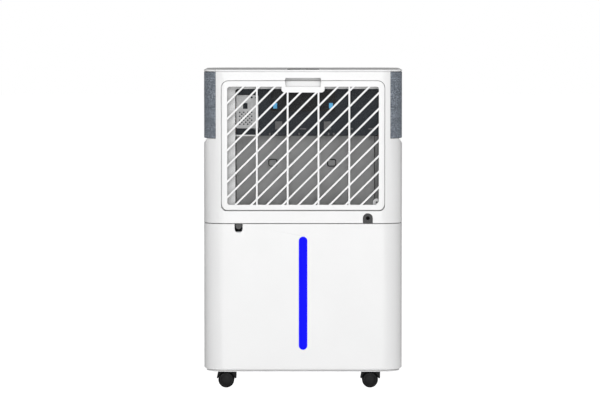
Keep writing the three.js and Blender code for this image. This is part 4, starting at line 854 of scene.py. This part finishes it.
# ---------------------------------------------------------------- casters, panel and back details
def caster_wheel(label):
    """Pair of smooth treads on domed discs, with a shallow groove round each face."""
    node = f"caster_wheel_{label}"
    low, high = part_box(node)
    centre = (low + high) / 2
    outer = (high.y - low.y) / 2
    near = 0.004
    radius = (high.z - low.z) / 2
    half = [(0.0, -outer), (0.0035, -outer + 0.00005), (0.0060, -outer + 0.0002), (0.0082, -outer + 0.0006),
            (0.0086, -outer + 0.0011), (0.0091, -outer + 0.0008), (0.0108, -outer + 0.0013),
            (0.0119, -outer + 0.0022), (radius - 0.0001, -outer + 0.0034), (radius, -outer + 0.0044),
            (radius, -near - 0.0006), (radius - 0.0006, -near), (0.002, -near)]
    profile = half + [(r, -along) for r, along in reversed(half)]
    piece(f"caster_tyres_{label}", lathe_mesh(f"caster_tyres_{label}", profile, centre),
          f"wheel_{label}", "rubber", [node])


def panel_details():
    """Display window, lamps and rings round the buttons on the control panel."""
    low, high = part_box("control_panel")
    top = high.z
    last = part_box("button_5")[1].y
    glass = box_mesh("display_window", (low.x + 0.010, last + 0.0035, top - 0.0004),
                     (high.x - 0.010, high.y - 0.006, top - 0.00002))
    window = piece("display_window", glass, "cabinet", "gloss_panel")
    round_edges(window, 0.0001)
    for i in range(5):
        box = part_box(f"button_{i + 1}")
        y = (box[0].y + box[1].y) / 2
        block_piece(f"panel_lamp_{i + 1}", (0.0135, y - 0.0008, top - 0.0003),
                    (0.0165, y + 0.0008, top - 0.00005), "cabinet", "symbol_white", 0.0001)
        ring = [(0.0026, top - 0.00035), (0.0034, top - 0.00035), (0.0034, top - 0.00002),
                (0.0026, top - 0.00002), (0.0026, top - 0.00035)]
        mesh = lathe_mesh(f"button_mark_{i + 1}", [(r, z) for r, z in ring], (0, y, 0), "Z", 32)
        piece(f"button_mark_{i + 1}", mesh, f"button_{i + 1}", "symbol_white", smooth=False)


def finish_nodes():
    white = ["base_plate", "rear_column", "outlet_housing", "tank", "louver"]
    for name in white:
        finish_node(name, "white_abs", 0.0005)
    for name in ("inlet_housing", "filter_grille"):
        finish_node(name, "white_abs", 0.0003)
    finish_node("top_cover", "lid_white", 0.0003)
    nodes["louver"].data.materials[0] = LOOKS["lid_white"].material
    for name in ("side_cap_left", "side_cap_right"):
        finish_node(name, "lid_grey", 0.0006)
    for name in ("mid_deck", "drain_spout", "fan_volute", "electronics_box", "tank_float"):
        finish_node(name, "grey_abs", 0.0003)
    for i in range(5):
        finish_node(f"button_{i + 1}", "grey_abs", 0.0002)
    finish_node("drain_cap", "cap_grey", 0.0004)
    finish_node("control_panel", "gloss_panel", 0.0003)
    finish_node("control_board", "circuit_board", 0.0001)
    finish_node("cord_gland", "gland_grey", 0.0003)
    for name in ("drain_pan", "fan_orifice", "outlet_grille", "impeller"):
        finish_node(name, "black_abs", 0.0003)
    finish_node("coil_baffle", "slate_abs", 0.0005)
    for name in ("evaporator_end_left", "evaporator_end_right"):
        finish_node(name, "black_steel", 0)
    for name in ("condenser_end_left", "condenser_end_right", "suction_line", "discharge_line",
                 "capillary_tube"):
        finish_node(name, "copper", 0)
    for name in ("fan_motor", "compressor", "accumulator"):
        finish_node(name, "black_steel", 0.0004)
    for i in range(3):
        finish_node(f"compressor_foot_{i + 1}", "rubber", 0.0003)
    finish_node("tank_window", "blue_window", 0.0003)
    finish_node("tank_lid", "clear_plastic", 0.0004)
    finish_node("float_guide", "clear_plastic", 0.0003)
    for label in CORNERS:
        finish_node(f"caster_hood_{label}", "black_abs", 0.0005)


make_camera()
make_studio()
finish_nodes()
fabric_cover(-1, "left")
fabric_cover(1, "right")
fin_stack("evaporator_fins", "evaporator_core", pitch=0.0011, thickness=0.0002, wave=0.0013, seed=3)
fin_stack("condenser_fins", "condenser_core", pitch=0.0018, thickness=0.0003, wave=0.0018, seed=4)
coil_tubes("evaporator_tube", "evaporator_core", 6)
coil_tubes("condenser_tube", "condenser_core", 10)
coil_clip("coil_clip_left", x=-0.0472, z=0.3543)
coil_clip("coil_clip_right", x=0.0448, z=0.3543)
perforated_bracket()
baffle_details()
filter_mesh()
for corner in CORNERS:
    caster_wheel(corner)
panel_details()
